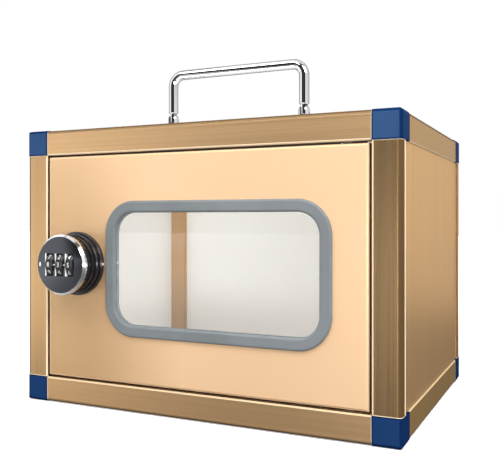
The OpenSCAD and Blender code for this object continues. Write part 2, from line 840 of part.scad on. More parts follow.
module lock_dial(i) {
    r = dial_d / 2;
    half = dial_w / 2;
    color(black) at_lock() translate([i * dial_pitch, 0, dial_reach]) rotate([0, 90, 0]) difference() {
        rotate_extrude() polygon([[axle_d / 2 + axle_clear, -hub_half], [hub_d / 2, -hub_half],
                                  [hub_d / 2, -half], [r - dial_chamfer, -half], [r, dial_chamfer - half],
                                  [r, half - dial_chamfer], [r - dial_chamfer, half], [hub_d / 2, half],
                                  [hub_d / 2, hub_half], [axle_d / 2 + axle_clear, hub_half]]);
        // Notches between the numbers
        for (n = [0 : dial_steps - 1]) rotate([0, 0, (n + 0.5) * 360 / dial_steps])
            translate([r, 0, -dial_w]) cylinder(r = dial_notch_r, h = 2 * dial_w);
    }
}

module dial_axle() {
    len = 2 * (dial_half + axle_seat) - 2 * axle_clear;
    color(steel) at_lock() translate([0, 0, dial_reach]) rotate([0, 90, 0])
        cylinder(d = axle_d, h = len, center = true);
}

// A leaf with a bump under each dial
module detent_spring() {
    color(steel) at_lock() translate([0, -detent_low, dial_reach]) {
        translate([axle_clear - dial_half, 0, -detent_w / 2])
            cube([2 * (dial_half - axle_clear), detent_t, detent_w]);
        for (i = [-1, 0, 1]) translate([i * dial_pitch, detent_r + seat_clear, 0]) rotate([0, 90, 0])
            cylinder(r = detent_r, h = dial_w / 2, center = true);
    }
}

module lock_spindle() {
    color(steel) at_lock() difference() {
        union() {
            translate([0, 0, -cam_front]) cylinder(d = spindle_d, h = cam_front + knob_rear);
            translate([-tang_w / 2, -tang_w / 2, -cam_back])
                cube([tang_w, tang_w, cam_back + knob_rear + knob_back]);
        }
        translate([0, 0, -cam_back - cut]) cylinder(d = cam_screw_d + 2 * seat_clear, h = cam_screw_len + cut);
    }
}

module lock_cam() {
    hole = tang_w + 2 * tang_clear;
    color(steel) at_lock() translate([0, 0, -cam_back]) linear_extrude(cam_t) difference() {
        union() {
            circle(d = cam_eye_d);
            translate([-cam_w / 2, cam_w / 2 - cam_len]) square([cam_w, cam_len - cam_w / 2]);
            translate([0, cam_w / 2 - cam_len]) circle(d = cam_w);
        }
        square(hole, center = true);
    }
}

module cam_screw() {
    color(steel) at_lock() difference() {
        union() {
            translate([0, 0, -cam_back - cam_head_h]) cylinder(d = cam_head_d, h = cam_head_h);
            translate([0, 0, -cam_back - cut]) cylinder(d = cam_screw_d, h = cam_screw_len + cut - seat_clear);
        }
        translate([0, 0, -cam_back - cam_head_h - cut])
            cylinder(d = cam_socket / cos(30), h = cam_socket_d + cut, $fn = 6);
    }
}

// Places what repeats at the handle's two feet
module at_feet() {
    for (side = [-1, 1]) at_foot(side) children();
}

module at_foot(side) {
    translate([side * handle_span / 2, handle_y, 0]) children();
}

// One end of the bar: the straight leg, its bend, and a tongue with an eye that turns on the pin
module handle_end() {
    at_foot(1) {
        translate([0, 0, handle_pivot + shoulder])
            cylinder(d1 = bar_d - 2 * shoulder_chamfer, d2 = bar_d, h = shoulder_chamfer);
        translate([0, 0, handle_pivot + shoulder + shoulder_chamfer])
            cylinder(d = bar_d, h = handle_top - bar_bend - handle_pivot - shoulder - shoulder_chamfer);
        intersection() {
            translate([-tongue_t / 2, -eye_r, handle_pivot - eye_r])
                cube([tongue_t, 2 * eye_r, eye_r + shoulder + shoulder_chamfer]);
            union() {
                translate([-tongue_t, 0, handle_pivot]) rotate([0, 90, 0]) cylinder(r = eye_r, h = 2 * tongue_t);
                translate([-tongue_t, -eye_r, handle_pivot]) cube([2 * tongue_t, 2 * eye_r, 2 * shoulder]);
            }
            translate([0, 0, handle_pivot - bar_d]) cylinder(d = bar_d - 2 * shoulder_chamfer, h = 3 * bar_d);
        }
        translate([-bar_bend, 0, handle_top - bar_bend]) rotate([90, 0, 0])
            rotate_extrude(angle = 90) translate([bar_bend, 0]) circle(d = bar_d);
    }
}

module handle_bar() {
    straight = handle_span - 2 * bar_bend;
    color(chrome) difference() {
        union() {
            handle_end();
            mirror([1, 0, 0]) handle_end();
            translate([-straight / 2, handle_y, handle_top]) rotate([0, 90, 0]) cylinder(d = bar_d, h = straight);
        }
        at_feet() translate([-bar_d, 0, handle_pivot]) rotate([0, 90, 0])
            cylinder(d = handle_pin_d + 2 * handle_pin_clear, h = 2 * bar_d);
    }
}

// A turned foot with a domed, forked top
module handle_foot(side) {
    r = foot_d / 2;
    gap = tongue_t + 2 * tongue_clear;
    color(chrome) at_foot(side) difference() {
        rotate_extrude() {
            translate([0, top_face]) square([r, handle_pivot - top_face]);
            translate([0, handle_pivot]) intersection() {
                circle(r);
                square(foot_d);
            }
        }
        translate([-gap / 2, -foot_d, fork_floor]) cube([gap, 2 * foot_d, foot_d * 2]);
        translate([-foot_d, 0, handle_pivot]) rotate([0, 90, 0])
            cylinder(d = handle_pin_d + 2 * seat_clear, h = 2 * foot_d);
        translate([0, 0, top_face - cut]) cylinder(d = screw_d + 2 * seat_clear, h = screw_hold + cut);
    }
}

module handle_pin(side) {
    len = sqrt(foot_d * foot_d - handle_pin_d * handle_pin_d);
    color(steel) at_foot(side) translate([0, 0, handle_pivot]) rotate([0, 90, 0])
        cylinder(d = handle_pin_d, h = len, center = true);
}

module handle_screws() {
    under = top_under - washer_t;
    color(steel) at_feet() difference() {
        union() {
            translate([0, 0, under - screw_head_h]) cylinder(d = screw_head_d, h = screw_head_h);
            translate([0, 0, under - cut])
                cylinder(d = screw_d, h = top_face + screw_hold - under + cut - seat_clear);
        }
        translate([0, 0, under - screw_head_h - cut])
            cylinder(d = screw_socket / cos(30), h = screw_socket_d + cut, $fn = 6);
    }
}

module handle_washers() {
    color(steel) at_feet() translate([0, 0, top_under - washer_t]) difference() {
        cylinder(d = washer_d, h = washer_t);
        translate([0, 0, -cut]) cylinder(d = screw_d + 2 * screw_clear, h = washer_t + 2 * cut);
    }
}

post_front_left();
color(gold) post(1, -1);  // post_front_right
color(gold) post(-1, 1);  // post_back_left
color(gold) post(1, 1);  // post_back_right
rail_front(-1);  // rail_front_bottom
rail_front(1);  // rail_front_top
color(gold) rail_across(1, -1);  // rail_back_bottom
color(gold) rail_across(1, 1);  // rail_back_top
color(gold) rail_deep(-1, -1);  // rail_left_bottom
color(gold) rail_deep(-1, 1);  // rail_left_top
color(gold) rail_deep(1, -1);  // rail_right_bottom
color(gold) rail_deep(1, 1);  // rail_right_top
corner(-1, -1, -1);  // corner_front_left_bottom
corner(1, -1, -1);  // corner_front_right_bottom
corner(-1, 1, -1);  // corner_back_left_bottom
corner(1, 1, -1);  // corner_back_right_bottom
corner(-1, -1, 1);  // corner_front_left_top
corner(1, -1, 1);  // corner_front_right_top
corner(-1, 1, 1);  // corner_back_left_top
corner(1, 1, 1);  // corner_back_right_top
panel_side(-1);  // panel_left
panel_side(1);  // panel_right
panel_back();
panel_bottom();
panel_top();
door_sheet();
window_gasket();
window_pane();
hinge_block(-1);  // hinge_block_bottom
hinge_block(1);  // hinge_block_top
hinge_pin(-1);  // hinge_pin_bottom
hinge_pin(1);  // hinge_pin_top
hinge_bush(-1);  // hinge_bush_bottom
hinge_bush(1);  // hinge_bush_top
hinge_rivets();
strike();
strike_screws();
door_bumpers();
lock_base();
lock_nut();
lock_knob();
lock_face();
lock_dial(-1);  // lock_dial_left
lock_dial(0);  // lock_dial_middle
lock_dial(1);  // lock_dial_right
dial_axle();
detent_spring();
lock_spindle();
lock_cam();
cam_screw();
handle_bar();
handle_foot(-1);  // handle_foot_left
handle_foot(1);  // handle_foot_right
handle_pin(-1);  // handle_pin_left
handle_pin(1);  // handle_pin_right
handle_screws();
handle_washers();
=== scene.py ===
"""Looks of a framed lock box: gold frame, blue corners, windowed door, dial lock and folding handle.

Lengths are in metres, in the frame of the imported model.
"""

import logging
import math
from dataclasses import dataclass, field, replace
from enum import Enum
from typing import ClassVar, NamedTuple

import bmesh
import bpy
from mathutils import Matrix, Vector


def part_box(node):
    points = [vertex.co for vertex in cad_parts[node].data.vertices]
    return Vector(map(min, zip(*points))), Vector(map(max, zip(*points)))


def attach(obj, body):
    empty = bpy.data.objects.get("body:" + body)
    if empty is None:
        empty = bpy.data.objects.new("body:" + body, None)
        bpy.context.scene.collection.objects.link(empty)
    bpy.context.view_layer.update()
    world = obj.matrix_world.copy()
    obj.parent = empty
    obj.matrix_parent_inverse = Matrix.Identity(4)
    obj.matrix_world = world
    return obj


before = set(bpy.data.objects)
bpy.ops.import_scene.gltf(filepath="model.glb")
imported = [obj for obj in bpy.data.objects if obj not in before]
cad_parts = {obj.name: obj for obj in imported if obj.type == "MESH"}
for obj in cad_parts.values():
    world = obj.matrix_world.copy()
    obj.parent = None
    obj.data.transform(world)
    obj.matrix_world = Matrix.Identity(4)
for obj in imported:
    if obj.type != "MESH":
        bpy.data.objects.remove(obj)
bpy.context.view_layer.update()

LOG = logging.getLogger("lock_box")
MM = 0.001
DIALS = ("left", "middle", "right")

Colour = tuple[float, float, float]
Point = tuple[float, float, float]
Pair = tuple[float, float]
Socket = bpy.types.NodeSocket
Value = Socket | float | int | str | tuple | bool

WHITE: Colour = (1.0, 1.0, 1.0)
UNLIT: Colour = (0.0, 0.0, 0.0)

# Stretch of a brushed pattern along its lines and across them.
BRUSH_LONG, BRUSH_FINE = 1.5, 1200.0


class Along(Enum):
    """Direction that the brush lines of a metal follow, as the stretch of its pattern."""

    X = (BRUSH_LONG, BRUSH_FINE, BRUSH_FINE)
    Y = (BRUSH_FINE, BRUSH_LONG, BRUSH_FINE)
    Z = (BRUSH_FINE, BRUSH_FINE, BRUSH_LONG)


class Body(Enum):
    """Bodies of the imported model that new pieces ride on."""

    DOOR = "door"
    KNOB = "knob"
    DIAL_LEFT = "dial_left"
    DIAL_MIDDLE = "dial_middle"
    DIAL_RIGHT = "dial_right"


class Slot(Enum):
    """Material slots of the record."""

    MARK = "nylon"
    SEAL = "black_rubber"


class Ramp(NamedTuple):
    """A smooth change of one value by another.

    Attributes:
        start: Where the change starts.
        end: Where the change ends.
        low: Result up to start.
        high: Result from end on.
    """

    start: float
    end: float
    low: float = 0.0
    high: float = 1.0


class Graph:
    """Adds nodes to one node tree and joins them.

    Attributes:
        MIX_INPUTS: Places of the factor and the two colours among a colour mix's inputs.
        MIX_RESULT: Place of the mixed colour among its outputs.
    """

    MIX_INPUTS: ClassVar[tuple[int, ...]] = (0, 6, 7)
    MIX_RESULT: ClassVar[int] = 2

    def __init__(self, tree: bpy.types.NodeTree) -> None:
        """Takes the shader or geometry tree to build in."""
        self.tree = tree

    def add(self, kind: str, **settings: object) -> bpy.types.Node:
        """Adds a node.

        Args:
            kind: Type name of the node.
            settings: Properties to set on it.

        Returns:
            The new node.
        """
        node = self.tree.nodes.new(kind)
        for key, value in settings.items():
            setattr(node, key, value)
        return node

    def feed(self, socket: Socket, value: Value) -> None:
        """Links a socket, or sets its plain value.

        Args:
            socket: Input to feed.
            value: Output to link, or a plain value, which has three parts for a colour.
        """
        if isinstance(value, Socket):
            self.tree.links.new(value, socket)
        elif socket.type == "RGBA":
            socket.default_value = (*value, 1.0)
        else:
            socket.default_value = value

    def call(self, kind: str, inputs: dict[str | int, Value], **settings: object) -> bpy.types.Node:
        """Adds a node and feeds its inputs.

        Args:
            kind: Type name of the node.
            inputs: Values by input name or place.
            settings: Properties to set on it.

        Returns:
            The new node.
        """
        node = self.add(kind, **settings)
        for key, value in inputs.items():
            self.feed(node.inputs[key], value)
        return node

    def out(self, kind: str, inputs: dict[str | int, Value], **settings: object) -> Socket:
        """Adds a node, feeds its inputs and returns its first output."""
        return self.call(kind, inputs, **settings).outputs[0]

    def math(self, operation: str, *values: Value) -> Socket:
        """Returns the result of one operation on numbers."""
        return self.out("ShaderNodeMath", dict(enumerate(values)), operation=operation)

    def vector(self, operation: str, *values: Value) -> Socket:
        """Returns the result of one operation on vectors, a number for lengths and products."""
        node = self.call("ShaderNodeVectorMath", dict(enumerate(values)), operation=operation)
        return node.outputs["Value" if operation in ("LENGTH", "DOT_PRODUCT") else "Vector"]

    def split(self, vector: Socket) -> list[Socket]:
        """Returns the X, Y and Z of a vector."""
        return list(self.call("ShaderNodeSeparateXYZ", {0: vector}).outputs)

    def ramp(self, value: Value, start: float, end: float, low: Value = 0.0, high: Value = 1.0) -> Socket:
        """Turns a range of a value smoothly into another range.

        Args:
            value: Value to read.
            start: Where the change starts.
            end: Where the change ends.
            low: Result up to start.
            high: Result from end on.

        Returns:
            The result's socket.
        """
        inputs = {"Value": value, "From Min": start, "From Max": end, "To Min": low, "To Max": high}
        return self.out("ShaderNodeMapRange", inputs, interpolation_type="SMOOTHSTEP")

    def mix(self, factor: Value, first: Value, second: Value) -> Socket:
        """Returns the mix of two colours, where the factor is the share of the second."""
        inputs = dict(zip(self.MIX_INPUTS, (factor, first, second)))
        return self.call("ShaderNodeMix", inputs, data_type="RGBA").outputs[self.MIX_RESULT]

    def noise(self, vector: Socket, scale: float, detail: float = 2.0) -> Socket:
        """Returns smooth noise from 0 to 1, with so many waves in a unit and so many finer layers."""
        return self.out("ShaderNodeTexNoise", {"Vector": vector, "Scale": scale, "Detail": detail})

    def bump(self, height: Socket, depth: float, strength: float) -> Socket:
        """Returns a normal bumped by a height, with the depth of height 1 and the share to show."""
        return self.out("ShaderNodeBump", {"Strength": strength, "Distance": depth, "Height": height})

    def seen(self) -> Socket:
        """Returns 1 for what is seen straight or through clear pieces, and 0 for what is mirrored."""
        light = self.add("ShaderNodeLightPath").outputs
        return self.math("MAXIMUM", light["Is Camera Ray"], light["Is Transmission Ray"])


class Effect:
    """A shader node group that several finishes share.

    Attributes:
        made: The groups built so far, by name.
    """

    made: ClassVar[dict[str, bpy.types.ShaderNodeTree]] = {}

    def __init__(self, name: str, inputs: dict[str, str], outputs: tuple[str, ...]) -> None:
        """Starts the group with its named sockets.

        Args:
            name: Name of the group.
            inputs: Socket type by input name.
            outputs: Names of the number outputs.
        """
        self.tree = bpy.data.node_groups.new(name, "ShaderNodeTree")
        for label, kind in inputs.items():
            self.tree.interface.new_socket(label, in_out="INPUT", socket_type=kind)
        for label in outputs:
            self.tree.interface.new_socket(label, in_out="OUTPUT", socket_type="NodeSocketFloat")
        self.graph = Graph(self.tree)
        self.given = self.graph.add("NodeGroupInput").outputs
        self.put_out = self.graph.add("NodeGroupOutput").inputs
        Effect.made[name] = self.tree

    @classmethod
    def streaks(cls) -> bpy.types.ShaderNodeTree:
        """Builds the fine and broad brush lines of a metal, once.

        Returns:
            The group.
        """
        name = "brush_streaks"
        if name not in cls.made:
            inputs = {"Place": "NodeSocketVector", "Stretch": "NodeSocketVector"}
            effect = cls(name, inputs, ("Fine", "Broad"))
            g = effect.graph
            drawn = g.vector("MULTIPLY", effect.given["Place"], effect.given["Stretch"])
            g.feed(effect.put_out["Fine"], g.noise(drawn, scale=2.4, detail=3.0))
            g.feed(effect.put_out["Broad"], g.noise(drawn, scale=0.5, detail=3.0))
        return cls.made[name]

    @classmethod
    def lip_line(cls) -> bpy.types.ShaderNodeTree:
        """Builds the strips of painted highlight along a length's lips and at its ends, on its outer faces
        only, once.

        Returns:
            The group.
        """
        name = "lip_line"
        if name not in cls.made:
            labels = ("Offset", "Lip", "End", "Skin")
            effect = cls(name, {label: "NodeSocketVector" for label in labels}, ("Mask",))
            g = effect.graph
            strip, outer = 0.0, 0.0
            for offset, lip, end, skin in zip(*(g.split(effect.given[label]) for label in labels)):
                strip = g.math("ADD", strip, g.math("LESS_THAN", offset, lip))
                strip = g.math("ADD", strip, g.math("GREATER_THAN", offset, end))
                outer = g.math("ADD", outer, g.math("GREATER_THAN", offset, skin))
            on_strip, on_skin = (g.math("MINIMUM", count, 1.0) for count in (strip, outer))
            g.feed(effect.put_out["Mask"], g.math("MULTIPLY", on_strip, on_skin))
        return cls.made[name]

    @classmethod
    def grain(cls) -> bpy.types.ShaderNodeTree:
        """Builds the fine grain and soft blotches of a moulded or painted surface, once.

        Returns:
            The group.
        """
        name = "surface_grain"
        if name not in cls.made:
            inputs = {"Place": "NodeSocketVector", "Size": "NodeSocketFloat"}
            effect = cls(name, inputs, ("Grain", "Blotch"))
            g = effect.graph
            shrunk = g.vector("DIVIDE", effect.given["Place"], effect.given["Size"])
            g.feed(effect.put_out["Grain"], g.noise(shrunk, scale=1.0, detail=3.0))
            g.feed(effect.put_out["Blotch"], g.noise(effect.given["Place"], scale=22.0, detail=3.0))
        return cls.made[name]


def box_middle(node: str) -> Point:
    """Returns the middle of a node's box."""
    x, y, z = ((low + high) / 2 for low, high in zip(*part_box(node)))
    return x, y, z


def frame_extent() -> tuple[Vector, Vector]:
    """Measures the whole frame.

    Returns:
        Its middle and its half size.
    """
    first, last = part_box("post_front_left")[0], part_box("post_back_right")[1]
    first.z, last.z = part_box("rail_front_bottom")[0].z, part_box("rail_front_top")[1].z
    return (first + last) / 2, (last - first) / 2


def plate_level() -> float:
    """Returns the Y of the lock face's plate, behind the lines that are raised on it."""
    raised = 0.4 * MM
    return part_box("lock_face")[0].y + raised


@dataclass(frozen=True)
class Surface:
    """One material while a finish works on it.

    Attributes:
        g: Graph of the material.
        shader: Its shader.
        place: Object coordinates of a point.
        facing: Normal there, in the object's own space.
    """

    g: Graph
    shader: bpy.types.Node
    place: Socket
    facing: Socket

    def give(self, inputs: dict[str, Value]) -> Socket:
        """Feeds inputs of the shader.

        Args:
            inputs: Values by input name.

        Returns:
            The shader's own socket.
        """
        for label, value in inputs.items():
            self.g.feed(self.shader.inputs[label], value)
        return self.shader.outputs[0]

    def effect(self, tree: bpy.types.ShaderNodeTree, inputs: dict[str, Value]) -> list[Socket]:
        """Returns the outputs of a shared effect, placed in this material with its own values."""
        return list(self.g.call("ShaderNodeGroup", inputs, node_tree=tree).outputs)

    def mottle(self, size: float) -> list[Socket]:
        """Returns fine grain of a size, and soft blotches."""
        return self.effect(Effect.grain(), {"Place": self.place, "Size": size})

    def from_middle(self) -> Socket:
        """Returns how far a point lies from the frame's middle along X, Y and Z."""
        middle, _ = frame_extent()
        return self.g.vector("ABSOLUTE", self.g.vector("SUBTRACT", self.place, tuple(middle)))

    def looks_along(self) -> tuple[Socket, Socket, Socket, Socket]:
        """Measures how far a face looks along the axes, either way.

        Returns:
            Its share along X, Y and Z, and the largest of the three, which is 1 on a face square to an axis.
        """
        x, y, z = self.g.split(self.g.vector("ABSOLUTE", self.facing))
        return x, y, z, self.g.math("MAXIMUM", self.g.math("MAXIMUM", x, y), z)


@dataclass(frozen=True)
class Finish:
    """A surface finish: one material with its own detail.

    Attributes:
        name: Name of the material.
        colour: Main colour.
        second: Colour of its streaks, blotches or other half.
        roughness: Middle roughness.
        metallic: Share of metal.
        grain: Size of its finest detail.
        relief: Depth of its finest detail.
        shine: Strength of its clear reflection.
        uneven: Share of the usual change of roughness over the surface.
    """

    name: str
    colour: Colour
    second: Colour
    roughness: float
    metallic: float = 0.0
    grain: float = 0.4 * MM
    relief: float = 0.02 * MM
    shine: float = 0.5
    uneven: float = 1.0

    def material(self) -> bpy.types.Material:
        """Makes this finish's material on first use.

        Returns:
            The material.
        """
        found = bpy.data.materials.get(self.name)
        if found:
            return found
        made = bpy.data.materials.new(self.name)
        made.use_nodes = True
        made.node_tree.nodes.clear()
        made.diffuse_color = (*self.colour, 1.0)
        g = Graph(made.node_tree)
        coords = g.add("ShaderNodeTexCoord").outputs
        on = Surface(g, g.add("ShaderNodeBsdfPrincipled"), coords["Object"], coords["Normal"])
        on.give({"Metallic": self.metallic, "Roughness": self.roughness, "Specular IOR Level": self.shine})
        surface = self.detail(on)
        g.feed(g.add("ShaderNodeOutputMaterial").inputs["Surface"], surface)
        return made

    def detail(self, on: Surface) -> Socket:
        """Adds grain and blotches.

        Args:
            on: The material's surface.

        Returns:
            The finished surface's socket.
        """
        g = on.g
        grain, blotch = on.mottle(self.grain)
        return on.give({
            "Base Color": self.tone(on, g.ramp(blotch, start=0.35, end=0.65)),
            "Roughness": self.rough(g, (grain, 0.10 * self.uneven), (blotch, 0.12 * self.uneven)),
            "Normal": g.bump(grain, self.relief, strength=0.5),
        })

    def tone(self, on: Surface, blotch: Socket) -> Socket:
        """Returns the mix of the two colours by the blotches."""
        return on.g.mix(blotch, self.colour, self.second)

    def rough(self, g: Graph, *changes: tuple[Socket, float]) -> Socket:
        """Changes the roughness over the surface, round its middle.

        Args:
            g: Graph of the material.
            changes: Patterns from 0 to 1, each with how much it changes the roughness.

        Returns:
            The roughness.
        """
        result = max(self.roughness - sum(amount for _, amount in changes) / 2, 0.0)
        for pattern, amount in changes:
            result = g.math("ADD", g.math("MULTIPLY", pattern, amount), result)
        return result


@dataclass(frozen=True)
class Moulded(Finish):
    """Moulded plastic with painted shade on its rounded edges and, less so, on its sides, and dark lines at
    its joints.

    Its lower pieces are painted darker, as painted shade.

    Attributes:
        rim: Colour of the painted shade on the rounded edges and sides, and of the joint lines.
        rounded: Share of that painted shade by how square to an axis a face looks.
        sides: Share of that painted shade by how far a face looks sideways.
        low: Colour that the lower pieces are painted towards, as painted shade.
        lowered: Share of that colour by height.
        seam: Width of the dark line where a corner piece meets a length of the frame.
    """

    rim: Colour = (0.004, 0.022, 0.085)
    rounded: Ramp = Ramp(0.90, 0.995, 1.0, 0.0)
    sides: Ramp = Ramp(0.5, 0.95, 0.0, 0.75)
    low: Colour = (0.005, 0.030, 0.115)
    lowered: Ramp = Ramp(50.0 * MM, 170.0 * MM, 0.75, 0.0)
    seam: float = 0.9 * MM

    def tone(self, on: Surface, blotch: Socket) -> Socket:
        """Mixes the two colours, paints shade on the edges, sides and lower pieces, and darkens the joints.

        Args:
            on: The material's surface.
            blotch: Share of the second colour.

        Returns:
            The colour's socket.
        """
        g = on.g
        x, _, _, square = on.looks_along()
        # Painted shade on the rounded edges and sides; the joints' own dark lines are added below.
        turned = g.math("MAXIMUM", g.ramp(square, *self.rounded), g.ramp(x, *self.sides))
        rail, side_rail, post = (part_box(name)[1] for name in
                                 ("rail_front_bottom", "rail_left_bottom", "post_front_left"))
        middle, _ = frame_extent()
        for away, end, centre in zip(g.split(on.from_middle()), (rail.x, side_rail.y, post.z), middle):
            turned = g.math("MAXIMUM", turned, g.math("LESS_THAN", away, end - centre + self.seam))
        # Painted shade: darker towards the bottom of the frame.
        low_shade = g.ramp(g.split(on.place)[2], *self.lowered)
        body = g.mix(low_shade, super().tone(on, blotch), self.low)
        return g.mix(turned, body, self.rim)


@dataclass(frozen=True)
class Plated(Finish):
    """Bright plate under a faintly smoked lacquer, which is deeper where the plate turns away.

    Attributes:
        smoke: What the lacquer lets through, straight on.
    """

    smoke: Colour = (0.78, 0.78, 0.785)

    def detail(self, on: Surface) -> Socket:
        """Adds grain and blotches, and the lacquer.

        Args:
            on: The material's surface.

        Returns:
            The finished surface's socket.
        """
        on.give({
            "Specular Tint": UNLIT,
            "Coat Weight": 1.0,
            "Coat Roughness": 0.0,
            "Coat IOR": 1.0,
            "Coat Tint": self.smoke,
        })
        return super().detail(on)


@dataclass(frozen=True)
class BrushedGold(Finish):
    """Gold anodised metal with brush lines, with painted shade on its edges, painted highlights on its lips
    and a painted reflection of its upper faces.

    Attributes:
        along: Direction of the lines.
        glance: Tint of what it mirrors at a flat angle.
        deep: Colour of the painted shade on the rounded edges.
        rounded: Share of that painted shade by how square to an axis a face looks.
        matt: Roughness that this painted shade adds.
        dark_sides: Whether the faces that look sideways have this painted shade too.
        dark_opening: Whether the faces that look up or down into the door's opening have it, as a painted
            shadow.
        opening_in: Outside of the frame to where such faces start.
        turn: Colour of the painted shade on a rail's rounded edge where it starts to turn away from the
            front.
        mirrored: Colour that its upper faces show in bright metal, a painted reflection.
        sample: Front, left and lower length of a frame whose lips have painted highlights, or none.
        lip: Colour of the painted highlights on the bevelled lips.
        lip_up: Colour of the painted highlights on the lips that look up.
        lip_wide: Width of the painted highlight at a lip that ends the length's X, Y or Z.
        lip_deep: Depth of the outer faces that show such a highlight.
        end_wide: Width of the painted highlight at a length's ends.
        lined: Whether the side towards the compartment is white.
        whites: The two whites of that side.
        lining_deep: Depth of that side.
        fill: Light that it adds as a painted glow, for what is lost between close walls.
        fill_colour: Colour of that light.
    """

    relief: float = 0.03 * MM
    along: Along = Along.Z
    glance: Colour = (0.80, 0.56, 0.32)
    deep: Colour = (0.10, 0.052, 0.017)
    rounded: Ramp = Ramp(0.985, 0.9999, 1.0, 0.0)
    matt: float = 0.4
    dark_sides: bool = False
    dark_opening: bool = False
    opening_in: float = 10.0 * MM
    turn: Colour = (0.26, 0.168, 0.084)
    mirrored: Colour = (0.92, 0.91, 0.89)
    sample: str = ""
    lip: Colour = (0.94, 0.75, 0.52)
    lip_up: Colour = (0.66, 0.49, 0.29)
    lip_wide: Point = (1.2 * MM, 1.2 * MM, 1.2 * MM)
    lip_deep: float = 0.9 * MM
    end_wide: float = 0.5 * MM
    lined: bool = False
    whites: tuple[Colour, Colour] = ((0.93, 0.93, 0.92), (0.88, 0.88, 0.87))
    lining_deep: float = 0.3 * MM
    fill: float = 0.13
    fill_colour: Colour = (1.0, 1.0, 0.98)

    def detail(self, on: Surface) -> Socket:
        """Adds brush lines, and either a white inside with a faint painted glow, or painted shade on the
        edges; also painted highlights on the lips and a painted reflection of the upper faces.

        Args:
            on: The material's surface.

        Returns:
            The finished surface's socket.
        """
        g = on.g
        fine, broad = on.effect(Effect.streaks(), {"Place": on.place, "Stretch": self.along.value})
        fine_share, broad_share, up_from = 0.6, 0.4, 0.7
        streak = g.math("ADD", g.math("MULTIPLY", fine, fine_share), g.math("MULTIPLY", broad, broad_share))
        colour = g.mix(g.ramp(streak, start=0.34, end=0.66), self.second, self.colour)
        rough = self.rough(g, (fine, 0.20))
        if self.lined:
            plain = self.towards_inside(on)
            _, blotch = on.mottle(self.grain)
            colour = g.mix(plain, colour, g.mix(blotch, *self.whites))
            # Painted glow: the white inside gives off a little light of its own.
            on.give({"Emission Color": g.mix(plain, UNLIT, self.fill_colour), "Emission Strength": self.fill})
        else:
            # Painted shade on the rounded edges and on the faces that this finish names.
            colour, plain = self.edged(on, colour)
            rough = g.math("ADD", rough, g.math("MULTIPLY", plain, self.matt))
        upward = g.split(on.facing)[2]
        # Painted highlights: white, non-metal strips on the lips, darker on the lips that look up.
        if self.sample:
            lip = self.lip_mask(on)
            colour = g.mix(lip, colour, g.mix(g.ramp(upward, start=0.1, end=0.5), self.lip, self.lip_up))
            plain = g.math("MAXIMUM", plain, lip)
        # Painted reflection: the upper faces turn near white only in what bright metal mirrors.
        glossy = g.add("ShaderNodeLightPath").outputs["Is Glossy Ray"]
        painted_reflection_top = g.math("MULTIPLY", glossy, g.math("GREATER_THAN", upward, up_from))
        return on.give({
            "Base Color": g.mix(painted_reflection_top, colour, self.mirrored),
            "Metallic": g.ramp(plain, start=0.0, end=1.0, low=self.metallic, high=0.0),
            "Roughness": rough,
            "Normal": g.bump(fine, self.relief, strength=0.35),
            "Specular Tint": self.glance,
        })

    def edged(self, on: Surface, colour: Socket) -> tuple[Socket, Socket]:
        """Paints shade on the rounded edges, and on the faces that this finish names.

        Args:
            on: The material's surface.
            colour: Colour of the flats.

        Returns:
            The colour, and the share of it that has painted shade.
        """
        g = on.g
        x, _, z, square = on.looks_along()
        turned, edge = g.ramp(square, *self.rounded), self.deep
        if self.dark_sides:
            turned = g.math("MAXIMUM", turned, g.ramp(x, start=0.25, end=0.85))
        if self.dark_opening:
            turned = g.math("MAXIMUM", turned, self.towards_opening(on, z))
            edge = g.mix(g.ramp(z, start=0.40, end=0.65), self.turn, self.deep)
        return g.mix(turned, colour, edge), turned

    def towards_opening(self, on: Surface, level: Socket) -> Socket:
        """Finds the rails' faces that look up or down into the door's opening, where a shadow is painted.

        Args:
            on: The material's surface.
            level: How far a face looks up or down.

        Returns:
            1 on those faces and 0 elsewhere.
        """
        g = on.g
        square_from = 0.8
        _, half = frame_extent()
        near = g.math("LESS_THAN", g.split(on.from_middle())[2], half.z - self.opening_in)
        return g.math("MULTIPLY", near, g.math("GREATER_THAN", level, square_from))

    def lip_mask(self, on: Surface) -> Socket:
        """Finds the narrow strips of painted highlight along the lips and at the ends of a frame's length.

        Args:
            on: The material's surface.

        Returns:
            1 on the strips and 0 elsewhere.
        """
        under_all, over_all = -1.0, 1.0
        low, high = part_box(self.sample)
        middle, half = frame_extent()
        run = max(range(3), key=lambda axis: high[axis] - low[axis])
        lips, ends, skins = [under_all] * 3, [over_all] * 3, [over_all] * 3
        for axis in range(3):
            if axis == run:
                ends[axis] = high[axis] - middle[axis] - self.end_wide
            else:
                lips[axis] = middle[axis] - high[axis] + self.lip_wide[axis]
                skins[axis] = half[axis] - self.lip_deep
        limits = {"Lip": tuple(lips), "End": tuple(ends), "Skin": tuple(skins)}
        return on.effect(Effect.lip_line(), {"Offset": on.from_middle(), **limits})[0]

    def towards_inside(self, on: Surface) -> Socket:
        """Finds the panel faces that look into the compartment.

        Args:
            on: The material's surface.

        Returns:
            1 on those faces and 0 elsewhere.
        """
        g = on.g
        x, y, z = g.split(on.place)
        inside = g.math("GREATER_THAN", z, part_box("panel_bottom")[1].z - self.lining_deep)
        for part, limit in ((g.math("ABSOLUTE", x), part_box("panel_right")[0].x),
                            (y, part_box("panel_back")[0].y), (z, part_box("panel_top")[0].z)):
            inside = g.math("MULTIPLY", inside, g.math("LESS_THAN", part, limit + self.lining_deep))
        return inside


